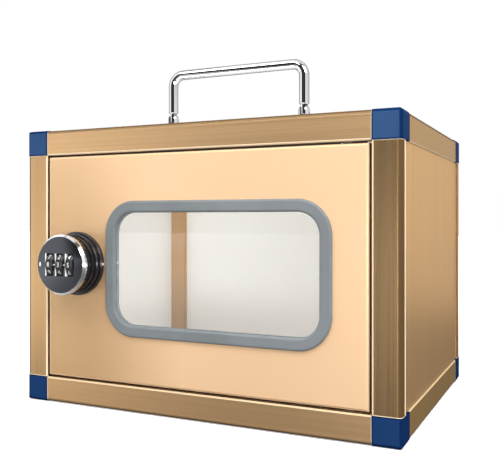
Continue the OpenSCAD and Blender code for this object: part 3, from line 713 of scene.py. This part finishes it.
@dataclass(frozen=True)
class SatinDoor(Finish):
    """Champagne satin coat with a painted shadow that deepens it towards its lower lock corner, and painted
    shade on its edges.

    Attributes:
        edge: Colour of the painted shade on the sheet's cut edges.
        flat: How square to an axis a face looks, from a rounded edge to a flat.
        edge_tone: Share of the main colour on the rounded edges, under painted shade.
        corner_up: Sheet's lower edge to the middle of the painted shadow.
        corner_r: Radius round that middle that is deepest.
        corner_reach: Radius where the painted shadow ends, as a share of the door's width.
        corner_tall: Share of a height that counts as distance from that middle.
        main_share: Share of the main colour where the painted shadow has ended.
        blotch_share: Share of it that the blotches add.
        coat: Weight of the clear coat on the flats.
        coat_rough: Roughness of that coat.
    """

    edge: Colour = (0.085, 0.045, 0.018)
    flat: Pair = (0.97, 0.999)
    edge_tone: float = 0.6
    corner_up: float = 20.0 * MM
    corner_r: float = 35.0 * MM
    corner_reach: float = 0.53
    corner_tall: float = 0.55
    main_share: float = 0.95
    blotch_share: float = 0.2
    coat: float = 0.25
    coat_rough: float = 0.25

    def detail(self, on: Surface) -> Socket:
        """Adds a fine satin grain, a painted shadow towards the lower lock corner, and painted shade on the
        edges.

        Args:
            on: The material's surface.

        Returns:
            The finished surface's socket.
        """
        g = on.g
        low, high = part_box("door_sheet")
        grain, blotch = on.mottle(self.grain)
        # Painted shadow: towards the lower lock corner the coat turns to its second, deeper colour.
        corner = g.vector("SUBTRACT", on.place, (low.x, low.y, low.z + self.corner_up))
        away = g.vector("LENGTH", g.vector("MULTIPLY", corner, (1.0, 1.0, self.corner_tall)))
        reach = self.corner_reach * (high.x - low.x)
        tone = g.math("ADD", g.ramp(away, self.corner_r, reach, high=self.main_share),
                      g.math("MULTIPLY", blotch, self.blotch_share))
        # Painted shade on the rounded edges and on the sheet's cut edges.
        _, y, _, square = on.looks_along()
        colour = g.mix(g.ramp(square, *self.flat, low=self.edge_tone, high=tone), self.second, self.colour)
        return on.give({
            "Base Color": g.mix(g.ramp(y, start=0.1, end=0.6, low=1.0, high=0.0), colour, self.edge),
            "Roughness": self.rough(g, (grain, 0.10), (blotch, 0.06)),
            "Normal": g.bump(grain, self.relief, strength=0.3),
            "Coat Weight": g.ramp(square, *self.flat, high=self.coat),
            "Coat Roughness": self.coat_rough,
        })


@dataclass(frozen=True)
class DarkMirror(Finish):
    """Dark polished plate with bright bevels and cut edges, white index lines on top, and white painted
    highlights beside the dials' slots.

    Attributes:
        edge: Colour of bevels and cut edges.
        flat_from: How far forward or back a face of the plate looks, at least.
        mark: Colour of the index lines, and of the painted highlights beside the slots.
        mark_up: How far in front of the plate a point lies on an index line.
        mark_rough: Roughness that the index lines add.
        rings: Turning marks in a metre.
        dome_r: Radius that the plate seems to be domed to.
        slot_half: Half width and half height of a dial's slot.
        strip: Width of the painted highlight beside a slot.
    """

    edge: Colour = (0.86, 0.87, 0.89)
    flat_from: float = 0.9
    mark: Colour = (0.90, 0.90, 0.88)
    mark_up: float = 0.1 * MM
    mark_rough: float = 0.3
    rings: float = 2600.0
    dome_r: float = 0.5
    slot_half: Pair = (3.5 * MM, 8.6 * MM)
    strip: float = 1.2 * MM

    def detail(self, on: Surface) -> Socket:
        """Adds bright edges, index lines, painted highlights beside the slots and faint turning marks.

        Args:
            on: The material's surface.

        Returns:
            The finished surface's socket.
        """
        g = on.g
        across, _, height = box_middle("lock_face")
        flat = g.vector("MULTIPLY", g.vector("SUBTRACT", on.place, (across, 0.0, height)), (1.0, 0.0, 1.0))
        radius = g.vector("LENGTH", flat)
        rings = g.noise(g.out("ShaderNodeCombineXYZ", {0: radius}), self.rings)
        rim = g.math("LESS_THAN", g.math("ABSOLUTE", g.split(on.facing)[1]), self.flat_from)
        on_line = g.math("LESS_THAN", g.split(on.place)[1], plate_level() - self.mark_up)
        # The index lines are print; the strips beside the slots are painted highlights.
        raised = g.math("MAXIMUM", on_line, self.slot_edges(g, flat))
        body = g.mix(g.ramp(rings, start=0.3, end=0.7), self.colour, self.second)
        fall = g.math("MULTIPLY", g.math("MULTIPLY", radius, radius), -1.0 / self.dome_r)
        domed = g.math("ADD", g.math("MULTIPLY", rings, self.relief), fall)
        rough = g.math("ADD", self.rough(g, (rings, 0.06)), g.math("MULTIPLY", raised, self.mark_rough))
        return on.give({
            "Base Color": g.mix(raised, g.mix(rim, body, self.edge), self.mark),
            "Metallic": g.ramp(raised, start=0.0, end=1.0, low=self.metallic, high=0.0),
            "Roughness": rough,
            "Normal": g.bump(domed, depth=1.0, strength=1.0),
        })

    def slot_edges(self, g: Graph, flat: Socket) -> Socket:
        """Finds the painted highlights beside the dials' slots: white strips in place of lit chamfers.

        Args:
            g: Graph of the material.
            flat: Place on the plate from the lock's axis.

        Returns:
            1 on the strips and 0 elsewhere.
        """
        x, _, z = g.split(flat)
        centre, _, _ = box_middle("lock_face")
        half_wide, half_tall = self.slot_half
        strips = 0.0
        for dial in DIALS:
            left = box_middle(f"lock_dial_{dial}")[0] - centre - half_wide
            strips = g.math("ADD", strips, g.math("COMPARE", x, left - self.strip / 2, self.strip / 2))
        return g.math("MULTIPLY", strips, g.math("LESS_THAN", g.math("ABSOLUTE", z), half_tall))


@dataclass(frozen=True)
class Clear(Finish):
    """Clear sheet that lets light through to what is behind it.

    Attributes:
        bend: How strongly it bends light, as a refractive index.
        wiped: Roughness that wipe marks add.
    """

    bend: float = 1.49
    wiped: float = 0.02

    def detail(self, on: Surface) -> Socket:
        """Makes the sheet see-through, with faint wipe marks.

        Args:
            on: The material's surface.

        Returns:
            The finished surface's socket.
        """
        g = on.g
        marks = g.noise(on.place, scale=30.0, detail=3.0)
        sheet = on.give({
            "Base Color": self.colour,
            "Roughness": g.ramp(marks, 0.45, 0.75, low=self.roughness, high=self.roughness + self.wiped),
            "Transmission Weight": 1.0,
            "IOR": self.bend,
        })
        shadow = g.add("ShaderNodeLightPath").outputs["Is Shadow Ray"]
        return g.out("ShaderNodeMixShader", {0: shadow, 1: sheet, 2: g.out("ShaderNodeBsdfTransparent", {})})


@dataclass(frozen=True)
class Paper(Finish):
    """Pale studio paper: white to the eye, and greyer in what the metal mirrors.

    Attributes:
        pale: Grey that the metal mirrors of the paper's light side.
        slope: Change of light in a metre to the right, and to the back behind the middle and before it.
        lit_side: Share of the pale grey along that slope.
        side_glow: Glow that the metal mirrors along that slope.
        back_glow: Glow that the metal mirrors further back.
        far_glow: Glow that the eye sees further away, so that the paper runs into the white behind.
    """

    pale: Colour = (0.50, 0.50, 0.50)
    slope: Point = (-0.9, 0.1, 0.44)
    lit_side: Ramp = Ramp(-0.12, 0.18)
    side_glow: Ramp = Ramp(0.1, 0.4, 0.0, 1.1)
    back_glow: Ramp = Ramp(0.3, 1.0, 0.0, 0.7)
    far_glow: Ramp = Ramp(0.15, 0.9, 0.35, 1.0)

    def detail(self, on: Surface) -> Socket:
        """Lightens the paper away from the object.

        Args:
            on: The material's surface.

        Returns:
            The finished surface's socket.
        """
        g = on.g
        x, y, _ = g.split(on.place)
        right, behind, before = (g.math("MULTIPLY", part, rate) for part, rate in zip((x, y, y), self.slope))
        light = g.math("ADD", right, g.math("MINIMUM", behind, before))
        grey = g.mix(g.ramp(light, *self.lit_side), self.second, self.pale)
        glow = g.math("ADD", g.ramp(y, *self.back_glow), g.ramp(light, *self.side_glow))
        far = g.ramp(g.vector("LENGTH", on.place), *self.far_glow)
        seen = g.seen()
        return on.give({
            "Base Color": g.mix(seen, grey, self.colour),
            "Emission Strength": g.ramp(seen, start=0.0, end=1.0, low=glow, high=far),
            "Emission Color": WHITE,
        })


# One anodised gold for every extrusion, given as lighter and darker copies with different metal shares:
# GOLD_X on the front and back rails, GOLD_Y on the side rails, GOLD_Z and GOLD_BACK on the posts. The
# difference between these copies is painted light and shade.
GOLD, GOLD_DARK = (0.60, 0.385, 0.195), (0.53, 0.335, 0.165)
GOLD_X = BrushedGold("gold_brushed_x", (0.77, 0.495, 0.258), (0.68, 0.435, 0.222), 0.38, 0.85,
                     along=Along.X, dark_opening=True, sample="rail_front_bottom")
GOLD_Y = BrushedGold("gold_brushed_y", (0.415, 0.265, 0.112), (0.371, 0.237, 0.10), 0.38, 0.5,
                     along=Along.Y, sample="rail_left_bottom", lip_wide=(1.2 * MM, 1.2 * MM, 0.8 * MM))
GOLD_Z = BrushedGold("gold_brushed_z", GOLD, GOLD_DARK, 0.30, 1.0, dark_sides=True,
                     sample="post_front_left", lip_wide=(1.2 * MM, 4.2 * MM, 1.2 * MM))
GOLD_BACK = BrushedGold("gold_brushed_back", GOLD, GOLD_DARK, 0.38, 0.85,
                        sample="post_front_left", lip_wide=(1.2 * MM, 0.0, 1.2 * MM))
PANEL_Z = BrushedGold("gold_panel_upright", (0.765, 0.508, 0.275), (0.58, 0.382, 0.197), 0.36, 0.72,
                      lined=True)
PANEL_X = replace(PANEL_Z, name="gold_panel_across", along=Along.X)
DOOR = SatinDoor("door_champagne", (0.95, 0.63, 0.37), (0.52, 0.315, 0.142), 0.38, 0.3,
                 grain=0.25 * MM, relief=0.006 * MM)
BLUE = Moulded("corner_blue", (0.031, 0.074, 0.179), (0.026, 0.065, 0.160), 0.50,
               grain=0.5 * MM, relief=0.012 * MM, shine=0.004)
GREY_RUBBER = Finish("gasket_grey", (0.205, 0.226, 0.236), (0.178, 0.196, 0.206), 0.58,
                     grain=0.35 * MM, relief=0.02 * MM, shine=0.25)
BLACK_RUBBER = Finish("bumper_black", (0.018, 0.018, 0.018), (0.03, 0.03, 0.03), 0.75,
                      grain=0.4 * MM, relief=0.04 * MM)
BLACK = Finish("lock_black", (0.012, 0.012, 0.014), (0.018, 0.018, 0.020), 0.20,
               grain=0.6 * MM, relief=0.004 * MM)
DIAL = Finish("dial_black", (0.014, 0.014, 0.016), (0.022, 0.022, 0.024), 0.42,
              grain=0.3 * MM, relief=0.01 * MM)
CHROME = Plated("chrome_plate", (0.95, 0.95, 0.96), (0.92, 0.92, 0.93), 0.06, 1.0,
                grain=3.0 * MM, relief=0.0005 * MM, uneven=0.3)
STEEL = Finish("zinc_steel", (0.58, 0.59, 0.60), (0.48, 0.49, 0.50), 0.38, 0.9,
               grain=0.5 * MM, relief=0.01 * MM)
# Hinge blocks, pins and bushes are painted dark, as painted shade, so that they read as the shadow in the
# door's gap.
GAP_SHADE_STEEL = Finish("steel_gap_shade", (0.045, 0.042, 0.040), (0.06, 0.056, 0.052), 0.45, 0.3,
                    grain=0.5 * MM, relief=0.01 * MM, shine=0.2)
GAP_SHADE_NYLON = Finish("nylon_gap_shade", (0.19, 0.16, 0.13), (0.165, 0.14, 0.112), 0.60,
               grain=0.4 * MM, relief=0.01 * MM, shine=0.2)
FACE = DarkMirror("face_dark_mirror", (0.085, 0.09, 0.10), (0.065, 0.07, 0.08), 0.12, 1.0, relief=0.002 * MM)
PAPER = Paper("floor_paper", (0.92, 0.92, 0.92), (0.08, 0.08, 0.08), 0.9)
PANE = Clear("pane_clear", (0.97, 0.985, 0.98), (0.97, 0.985, 0.98), 0.01)
MARK = Finish("mark_white", (0.88, 0.88, 0.86), (0.82, 0.82, 0.80), 0.42, grain=0.2 * MM, relief=0.004 * MM)


def dress(finish: Finish, *nodes: str) -> None:
    """Gives carried-over nodes a finish.

    Args:
        finish: Finish to give.
        nodes: Names of the nodes.
    """
    made = finish.material()
    for name in nodes:
        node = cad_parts[name]
        node.data.materials.clear()
        node.data.materials.append(made)
        LOG.info("dressed %s in %s", name, finish.name)


def keep_piece(piece: bpy.types.Object, body: Body) -> None:
    """Lets a new piece ride on a body.

    Args:
        piece: Finished piece, in place.
        body: Body to ride on.
    """
    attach(piece, body.value)
    LOG.info("built %s on %s, %d faces", piece.name, body.value, len(piece.data.polygons))


def link_mesh(name: str, mesh: bpy.types.Mesh) -> bpy.types.Object:
    """Puts a mesh in the scene.

    Args:
        name: Name of the object.
        mesh: Its mesh.

    Returns:
        The new object.
    """
    made = bpy.data.objects.new(name, mesh)
    bpy.context.scene.collection.objects.link(made)
    return made


def finished_piece(name: str, built: bmesh.types.BMesh, finish: Finish) -> bpy.types.Object:
    """Turns a built mesh into a piece with a finish.

    Args:
        name: Name of the piece.
        built: Its mesh, which is freed.
        finish: Its finish.

    Returns:
        The piece.
    """
    mesh = bpy.data.meshes.new(name)
    built.to_mesh(mesh)
    built.free()
    mesh.materials.append(finish.material())
    return link_mesh(name, mesh)


def grown_mesh(tree: bpy.types.NodeTree, values: dict[str, object]) -> bpy.types.Mesh:
    """Evaluates a geometry tree to a plain mesh.

    Args:
        tree: The geometry tree.
        values: Values by input name.

    Returns:
        The plain mesh.
    """
    carrier = link_mesh("carrier", bpy.data.meshes.new("carrier"))
    grower = carrier.modifiers.new("grow", "NODES")
    grower.node_group = tree
    for item in tree.interface.items_tree:
        if item.item_type == "SOCKET" and item.in_out == "INPUT" and item.name in values:
            grower[item.identifier] = values[item.name]
    seen = carrier.evaluated_get(bpy.context.evaluated_depsgraph_get())
    mesh = bpy.data.meshes.new_from_object(seen)
    carrier.modifiers.remove(grower)
    old = carrier.data
    bpy.data.objects.remove(carrier)
    bpy.data.meshes.remove(old)
    return mesh


@dataclass
class Case:
    """The frame, its corner pieces and its panels.

    Attributes:
        ends: Names of its front and its back.
        sides: Names of its two sides.
        levels: Names of its bottom and its top.
    """

    ends: tuple[str, str] = ("front", "back")
    sides: tuple[str, str] = ("left", "right")
    levels: tuple[str, str] = ("bottom", "top")

    def dress(self) -> None:
        """Gives the frame, corners and panels their finishes."""
        for end in self.ends:
            upright = GOLD_Z if end == "front" else GOLD_BACK
            dress(upright, *(f"post_{end}_{side}" for side in self.sides))
            dress(GOLD_X, *(f"rail_{end}_{level}" for level in self.levels))
            for side in self.sides:
                dress(BLUE, *(f"corner_{end}_{side}_{level}" for level in self.levels))
        for side in self.sides:
            dress(GOLD_Y, *(f"rail_{side}_{level}" for level in self.levels))
        dress(PANEL_Z, "panel_left", "panel_right", "panel_back")
        dress(PANEL_X, "panel_bottom", "panel_top")


@dataclass
class Door:
    """The door with its window, pivots, strike, bumpers and a black rubber strip on its top edge, as painted
    shade in the gap above it.

    Attributes:
        levels: Names of the two pivots.
        seal_size: Width and height of the black strip on the top edge.
        seal_sink: How far the strip goes into the edge.
        seal_round: Rounding of the strip's upper edges.
        seal_back: Door's front to the strip.
        seal_end: Bare length at the door's ends.
        pivot_room: Bare length at each side of the upper pivot.
    """

    levels: tuple[str, str] = ("bottom", "top")
    seal_size: Pair = (2.5 * MM, 1.0 * MM)
    seal_sink: float = 0.05 * MM
    seal_round: float = 0.3 * MM
    seal_back: float = 2.2 * MM
    seal_end: float = 2.2 * MM
    pivot_room: float = 4.2 * MM

    def build(self) -> None:
        """Dresses the door and adds the black strip that stands as painted shade in the gap above it."""
        self.dress()
        self.build_seal()

    def dress(self) -> None:
        """Gives the door's pieces their finishes."""
        dress(DOOR, "door_sheet")
        dress(GREY_RUBBER, "window_gasket")
        dress(PANE, "window_pane")
        # The hinge parts take dark finishes as painted shade in the gap.
        for level in self.levels:
            dress(GAP_SHADE_STEEL, f"hinge_block_{level}", f"hinge_pin_{level}")
            dress(GAP_SHADE_NYLON, f"hinge_bush_{level}")
        dress(STEEL, "hinge_rivets", "strike", "strike_screws")
        dress(BLACK_RUBBER, "door_bumpers")

    def build_seal(self) -> None:
        """Lays a black strip on the door's top edge, clear of the pivot, as painted shade in the gap above
        the door.
        """
        low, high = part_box("door_sheet")
        pivot, _, _ = box_middle("hinge_pin_top")
        wide, tall = self.seal_size
        built = bmesh.new()
        for start, end in ((low.x + self.seal_end, pivot - self.pivot_room),
                           (pivot + self.pivot_room, high.x - self.seal_end)):
            strip = bmesh.ops.create_cube(built, size=1.0)["verts"]
            bmesh.ops.scale(built, vec=(end - start, wide, tall + self.seal_sink), verts=strip)
            depth, height = low.y + self.seal_back + wide / 2, high.z + (tall - self.seal_sink) / 2
            bmesh.ops.translate(built, vec=((start + end) / 2, depth, height), verts=strip)
        upper = [edge for edge in built.edges if all(vert.co.z > high.z for vert in edge.verts)]
        bmesh.ops.bevel(built, geom=upper, offset=self.seal_round, segments=3, profile=0.5, affect="EDGES")
        keep_piece(finished_piece("door_top_shade_strip", built, BLACK_RUBBER), Body.DOOR)


@dataclass
class DialNumbers:
    """The raised numbers round the lock's dials.

    Attributes:
        shown: Number that each dial shows at rest, from left to right.
        steps: Numbers on a dial.
        type_size: Height of the type.
        relief: How far a number stands out of its dial.
        sink: How far a number goes into its dial.
        stroke: Length of the straight pieces of a number's outline.
        weld: Distance under which points are joined.
    """

    shown: tuple[int, ...] = (8, 3, 5)
    steps: int = 10
    type_size: float = 5.0 * MM
    relief: float = 0.06 * MM
    sink: float = 0.2 * MM
    stroke: float = 0.14 * MM
    weld: float = 0.001 * MM

    def build(self) -> None:
        """Lays the numbers round each dial."""
        tree = self.tree()
        for dial, shown in zip(DIALS, self.shown):
            low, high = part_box(f"lock_dial_{dial}")
            values = {
                "Radius": (high.z - low.z) / 2,
                "Type Size": self.type_size,
                "Relief": self.relief,
                "Sink": self.sink,
                "Turn": 2 * math.pi * shown / self.steps,
                "Centre": (low + high) / 2,
                "Finish": MARK.material(),
            }
            piece = link_mesh(f"dial_numbers_{dial}", grown_mesh(tree, values))
            keep_piece(piece, Body(f"dial_{dial}"))

    def tree(self) -> bpy.types.GeometryNodeTree:
        """Builds the tree that lays a strip of numbers round a dial.

        Returns:
            The tree, with named inputs for its sizes and place.
        """
        tree = bpy.data.node_groups.new("dial_numbers", "GeometryNodeTree")
        kinds = {"Radius": "Float", "Type Size": "Float", "Relief": "Float", "Sink": "Float", "Turn": "Float",
                 "Centre": "Vector", "Finish": "Material"}
        for label, kind in kinds.items():
            tree.interface.new_socket(label, in_out="INPUT", socket_type=f"NodeSocket{kind}")
        tree.interface.new_socket("Geometry", in_out="OUTPUT", socket_type="NodeSocketGeometry")
        g = Graph(tree)
        given = dict(g.add("NodeGroupInput").outputs.items())
        solid = self.thickened(g, given, self.flat_strip(g, given))
        wrapped = self.wrapped(g, given, solid)
        real = g.out("GeometryNodeRealizeInstances", {0: wrapped})
        done = g.out("GeometryNodeSetMaterial", {"Geometry": real, "Material": given["Finish"]})
        g.feed(g.add("NodeGroupOutput").inputs[0], done)
        return tree

    def flat_strip(self, g: Graph, given: dict[str, Socket]) -> Socket:
        """Writes the numbers one under the other, a dial's pitch apart.

        Args:
            g: Graph of the tree.
            given: The tree's inputs by name.

        Returns:
            The flat numbers.
        """
        pitch = g.math("MULTIPLY", given["Radius"], 2 * math.pi / self.steps)
        strip = g.add("GeometryNodeJoinGeometry")
        font = bpy.data.fonts.load("<builtin>")
        for number in range(self.steps):
            letter = g.out("GeometryNodeStringToCurves", {"String": str(number), "Size": given["Type Size"]},
                           align_x="CENTER", align_y="MIDDLE", font=font)
            up = g.out("ShaderNodeCombineXYZ", {1: g.math("MULTIPLY", pitch, -number)})
            g.feed(strip.inputs[0], g.out("GeometryNodeTransform", {"Geometry": letter, "Translation": up}))
        loose = g.out("GeometryNodeRealizeInstances", {0: strip.outputs[0]})
        spaced = g.out("GeometryNodeResampleCurve", {"Curve": loose, "Length": self.stroke}, mode="LENGTH")
        return g.out("GeometryNodeFillCurve", {"Curve": spaced}, mode="TRIANGLES")

    def thickened(self, g: Graph, given: dict[str, Socket], flat: Socket) -> Socket:
        """Gives the flat numbers their thickness.

        Args:
            g: Graph of the tree.
            given: The tree's inputs by name.
            flat: The flat numbers.

        Returns:
            The closed numbers.
        """
        thick = g.math("ADD", given["Relief"], given["Sink"])
        raised = g.out("GeometryNodeExtrudeMesh", {"Mesh": flat, "Offset Scale": thick, "Individual": False})
        closed = g.add("GeometryNodeJoinGeometry")
        for part in (raised, g.out("GeometryNodeFlipFaces", {"Mesh": flat})):
            g.feed(closed.inputs[0], part)
        return g.out("GeometryNodeMergeByDistance", {"Geometry": closed.outputs[0], "Distance": self.weld})

    def wrapped(self, g: Graph, given: dict[str, Socket], solid: Socket) -> Socket:
        """Bends the strip round the dial's axis.

        Args:
            g: Graph of the tree.
            given: The tree's inputs by name.
            solid: The closed numbers in a flat strip.

        Returns:
            The numbers in place.
        """
        u, v, h = g.split(g.out("GeometryNodeInputPosition", {}))
        angle = g.math("ADD", g.math("DIVIDE", v, given["Radius"]), given["Turn"])
        reach = g.math("ADD", given["Radius"], g.math("SUBTRACT", h, given["Sink"]))
        forward = g.math("MULTIPLY", g.math("MULTIPLY", g.math("COSINE", angle), reach), -1.0)
        upward = g.math("MULTIPLY", g.math("SINE", angle), reach)
        around = g.out("ShaderNodeCombineXYZ", {0: u, 1: forward, 2: upward})
        placed = g.vector("ADD", around, given["Centre"])
        return g.out("GeometryNodeSetPosition", {"Geometry": solid, "Position": placed})


@dataclass
class DialLock:
    """The combination lock: dressed solids, dial numbers and index marks.

    Attributes:
        numbers: The numbers on its dials.
        mark_half: Half width and half height of the mark on the face.
        mark_out: Lock axis to the mark on the face.
        mark_sink: How far that mark goes into the face.
        dot_r: Radius of the dot on the base ring.
        dot_out: Door's front to the dot's middle.
        dot_sink: How far the dot goes into the ring.
        rise: Height of a mark's dome.
        around: Corners of a mark's outline.
        rings: Steps of its dome.
    """

    numbers: DialNumbers = field(default_factory=DialNumbers)
    mark_half: Pair = (0.9 * MM, 1.9 * MM)
    mark_out: float = 19.4 * MM
    mark_sink: float = 0.05 * MM
    dot_r: float = 1.1 * MM
    dot_out: float = 1.3 * MM
    dot_sink: float = 0.03 * MM
    rise: float = 0.25 * MM
    around: int = 28
    rings: int = 5

    def build(self) -> None:
        """Dresses the lock and adds its numbers and marks."""
        self.dress()
        self.numbers.build()
        self.build_marks()

    def dress(self) -> None:
        """Gives the lock's pieces their finishes."""
        dress(BLACK, "lock_base", "lock_knob")
        dress(FACE, "lock_face")
        dress(DIAL, *(f"lock_dial_{dial}" for dial in DIALS))
        dress(STEEL, "lock_nut", "dial_axle", "detent_spring", "lock_spindle", "lock_cam", "cam_screw")

    def build_marks(self) -> None:
        """Puts the white index marks on the face and on the base ring."""
        across, _, height = box_middle("lock_base")
        forward, outward = (Matrix.Rotation(math.pi / 2, 4, about) for about in "XY")
        on_face = Matrix.Translation((across - self.mark_out, plate_level() + self.mark_sink, height))
        keep_piece(self.domed("face_index_mark", self.mark_half, on_face @ forward), Body.KNOB)
        ring_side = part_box("lock_base")[1].x
        door_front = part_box("door_sheet")[0].y
        on_ring = Matrix.Translation((ring_side - self.dot_sink, door_front - self.dot_out, height))
        dot_half = (self.dot_r, self.dot_r)
        keep_piece(self.domed("base_index_dot", dot_half, on_ring @ outward), Body.DOOR)

    def domed(self, name: str, half: Pair, place: Matrix) -> bpy.types.Object:
        """Makes a low oval dome of white enamel.

        Args:
            name: Name of the piece.
            half: Half width and half height.
            place: Turns its X, Y and front to where it sits.

        Returns:
            The dome, closed underneath.
        """
        built = bmesh.new()
        turns = [2 * math.pi * step / self.around for step in range(self.around)]
        rows = []
        for ring in range(self.rings):
            tilt = 0.5 * math.pi * ring / self.rings
            wide, tall = (size * math.cos(tilt) for size in half)
            rise = self.rise * math.sin(tilt)
            rows.append([built.verts.new((wide * math.cos(turn), tall * math.sin(turn), rise))
                         for turn in turns])
        top = built.verts.new((0.0, 0.0, self.rise))
        for i in range(self.around):
            j = (i + 1) % self.around
            for lower, upper in zip(rows, rows[1:]):
                built.faces.new((lower[i], lower[j], upper[j], upper[i]))
            built.faces.new((rows[-1][i], rows[-1][j], top))
        built.faces.new(list(reversed(rows[0])))
        for face in built.faces:
            face.smooth = len(face.verts) < self.around
        built.transform(place)
        return finished_piece(name, built, MARK)


@dataclass
class Handle:
    """The folding carry handle.

    Attributes:
        sides: Names of its two ends.
    """

    sides: tuple[str, str] = ("left", "right")

    def dress(self) -> None:
        """Gives the handle's pieces their finishes."""
        dress(CHROME, "handle_bar", *(f"handle_foot_{side}" for side in self.sides))
        dress(STEEL, *(f"handle_pin_{side}" for side in self.sides), "handle_screws", "handle_washers")


@dataclass(frozen=True)
class Lamp:
    """A soft studio light.

    Attributes:
        name: Name of the light.
        place: Where it stands.
        aim: Point that it faces.
        size: Its width and height.
        power: Its power in watts.
    """

    name: str
    place: Point
    aim: Point
    size: Pair
    power: float

    def build(self) -> None:
        """Adds the light."""
        light = bpy.data.lights.new(self.name, "AREA")
        light.shape = "RECTANGLE"
        light.size, light.size_y = self.size
        light.energy = self.power
        made = bpy.data.objects.new(self.name, light)
        made.location = self.place
        made.rotation_euler = (Vector(self.aim) - Vector(self.place)).to_track_quat("-Z", "Y").to_euler()
        bpy.context.scene.collection.objects.link(made)


@dataclass(frozen=True)
class DarkPatch:
    """A dark patch of the surroundings that bright metal mirrors.

    Attributes:
        way: Direction of its middle.
        inner: Angle from there, in degrees, that is fully dark.
        outer: Angle from there, in degrees, where it ends.
        level: Share of the light that is left in it.
    """

    way: Point
    inner: float
    outer: float
    level: float = 0.06

    def shade(self, g: Graph, way: Socket) -> Socket:
        """Dims the surroundings.

        Args:
            g: Graph of the surroundings.
            way: Direction that is looked in.

        Returns:
            Share of the light that is left there.
        """
        near = g.vector("DOT_PRODUCT", way, tuple(Vector(self.way).normalized()))
        start, end = (math.cos(math.radians(angle)) for angle in (self.outer, self.inner))
        return g.ramp(near, start, end, low=1.0, high=self.level)


@dataclass
class Studio:
    """Floor, surroundings, lights and camera.

    Attributes:
        focal_px: Focal length in pixels of the picture.
        width_px: Width of the picture.
        drop_px: How far the horizon lies above the picture's middle.
        eye: Where the camera stands.
        turn: Camera's turn to the left of straight back.
        sensor: Width of the camera's sensor, in millimetres.
        near: Nearest distance that the camera sees.
        floor_half: Half width of the floor.
        left: Light of the surroundings in front, from the left to the middle.
        right: Light that they gain in front, from the middle to the right.
        back: Directions between which the light in front turns into the light behind.
        back_light: Light behind.
        rise: Share of the light by height.
        patch_tall: Share of a height that counts for the dark patches.
        patches: Dark patches of the surroundings.
        lamps: The lights.
    """

    focal_px: float = 706.0
    width_px: float = 500.0
    drop_px: float = 13.5
    eye: Point = (0.2584, -0.5511, 0.1481)
    turn: float = math.radians(25.2)
    sensor: float = 36.0
    near: float = 10.0 * MM
    floor_half: float = 6.0
    left: Ramp = Ramp(-0.68, -0.33, 1.50, 0.08)
    right: Ramp = Ramp(0.45, 0.70, 0.0, 1.0)
    back: Pair = (-0.3, 0.5)
    back_light: float = 1.05
    rise: Ramp = Ramp(0.0, 0.9, 0.9, 1.1)
    patch_tall: float = 0.5
    patches: tuple[DarkPatch, ...] = (
        DarkPatch((-0.40, -0.916, 0.17), 10.0, 18.0),
        DarkPatch((0.46, -0.888, 0.03), 12.0, 20.0),
    )
    lamps: tuple[Lamp, ...] = (
        Lamp("key", (-0.35, -0.85, 1.20), (0.0, -0.1, 0.12), (0.9, 0.7), 10.3),
        Lamp("side", (0.55, -0.40, 0.70), (0.15, -0.06, 0.16), (0.4, 0.4), 4.6),
        Lamp("fill", (0.50, -0.90, 0.07), (0.06, -0.1, 0.05), (0.9, 0.14), 4.8),
        Lamp("top", (0.0, 0.1, 1.8), (0.0, 0.0, 0.2), (1.6, 1.6), 6.0),
    )

    def build(self) -> None:
        """Sets up the studio."""
        self.build_camera()
        self.build_floor()
        self.build_surroundings()
        for lamp in self.lamps:
            lamp.build()
        bpy.context.scene.view_settings.view_transform = "Standard"

    def build_camera(self) -> None:
        """Adds the camera and makes it the scene's own."""
        lens = bpy.data.cameras.new("camera")
        lens.sensor_fit = "HORIZONTAL"
        lens.sensor_width = self.sensor
        lens.lens = self.sensor * self.focal_px / self.width_px
        lens.shift_y = -self.drop_px / self.width_px
        lens.clip_start = self.near
        made = bpy.data.objects.new("camera", lens)
        made.location = self.eye
        made.rotation_euler = (math.pi / 2, 0.0, self.turn)
        bpy.context.scene.collection.objects.link(made)
        bpy.context.scene.camera = made

    def build_floor(self) -> None:
        """Adds the pale floor."""
        half = self.floor_half
        corners = [(-half, -half, 0.0), (half, -half, 0.0), (half, half, 0.0), (-half, half, 0.0)]
        mesh = bpy.data.meshes.new("floor")
        mesh.from_pydata(corners, [], [(0, 1, 2, 3)])
        made = link_mesh("floor", mesh)
        mesh.materials.append(PAPER.material())

    def build_surroundings(self) -> None:
        """Makes a white room with darker patches that bright metal can mirror."""
        world = bpy.data.worlds.new("studio")
        bpy.context.scene.world = world
        world.use_nodes = True
        world.node_tree.nodes.clear()
        g = Graph(world.node_tree)
        way = g.add("ShaderNodeTexCoord").outputs["Generated"]
        across, deep, height = g.split(way)
        front = g.math("ADD", g.ramp(across, *self.left), g.ramp(across, *self.right))
        glow = g.math("MULTIPLY", g.ramp(deep, *self.back, low=front, high=self.back_light),
                      g.ramp(height, *self.rise))
        lowered = g.vector("NORMALIZE", g.vector("MULTIPLY", way, (1.0, 1.0, self.patch_tall)))
        for patch in self.patches:
            glow = g.math("MULTIPLY", glow, patch.shade(g, lowered))
        mirrored = g.out("ShaderNodeBackground", {"Color": WHITE, "Strength": glow})
        plain = g.out("ShaderNodeBackground", {"Color": WHITE, "Strength": 1.0})
        both = g.out("ShaderNodeMixShader", {0: g.seen(), 1: mirrored, 2: plain})
        g.feed(g.add("ShaderNodeOutputWorld").inputs["Surface"], both)


def main() -> None:
    """Builds the studio and dresses each sub-assembly in order."""
    logging.basicConfig(level=logging.INFO, format="%(name)s: %(message)s")
    Studio().build()
    Case().dress()
    Door().build()
    DialLock().build()
    Handle().dress()


if __name__ == "__main__":
    main()
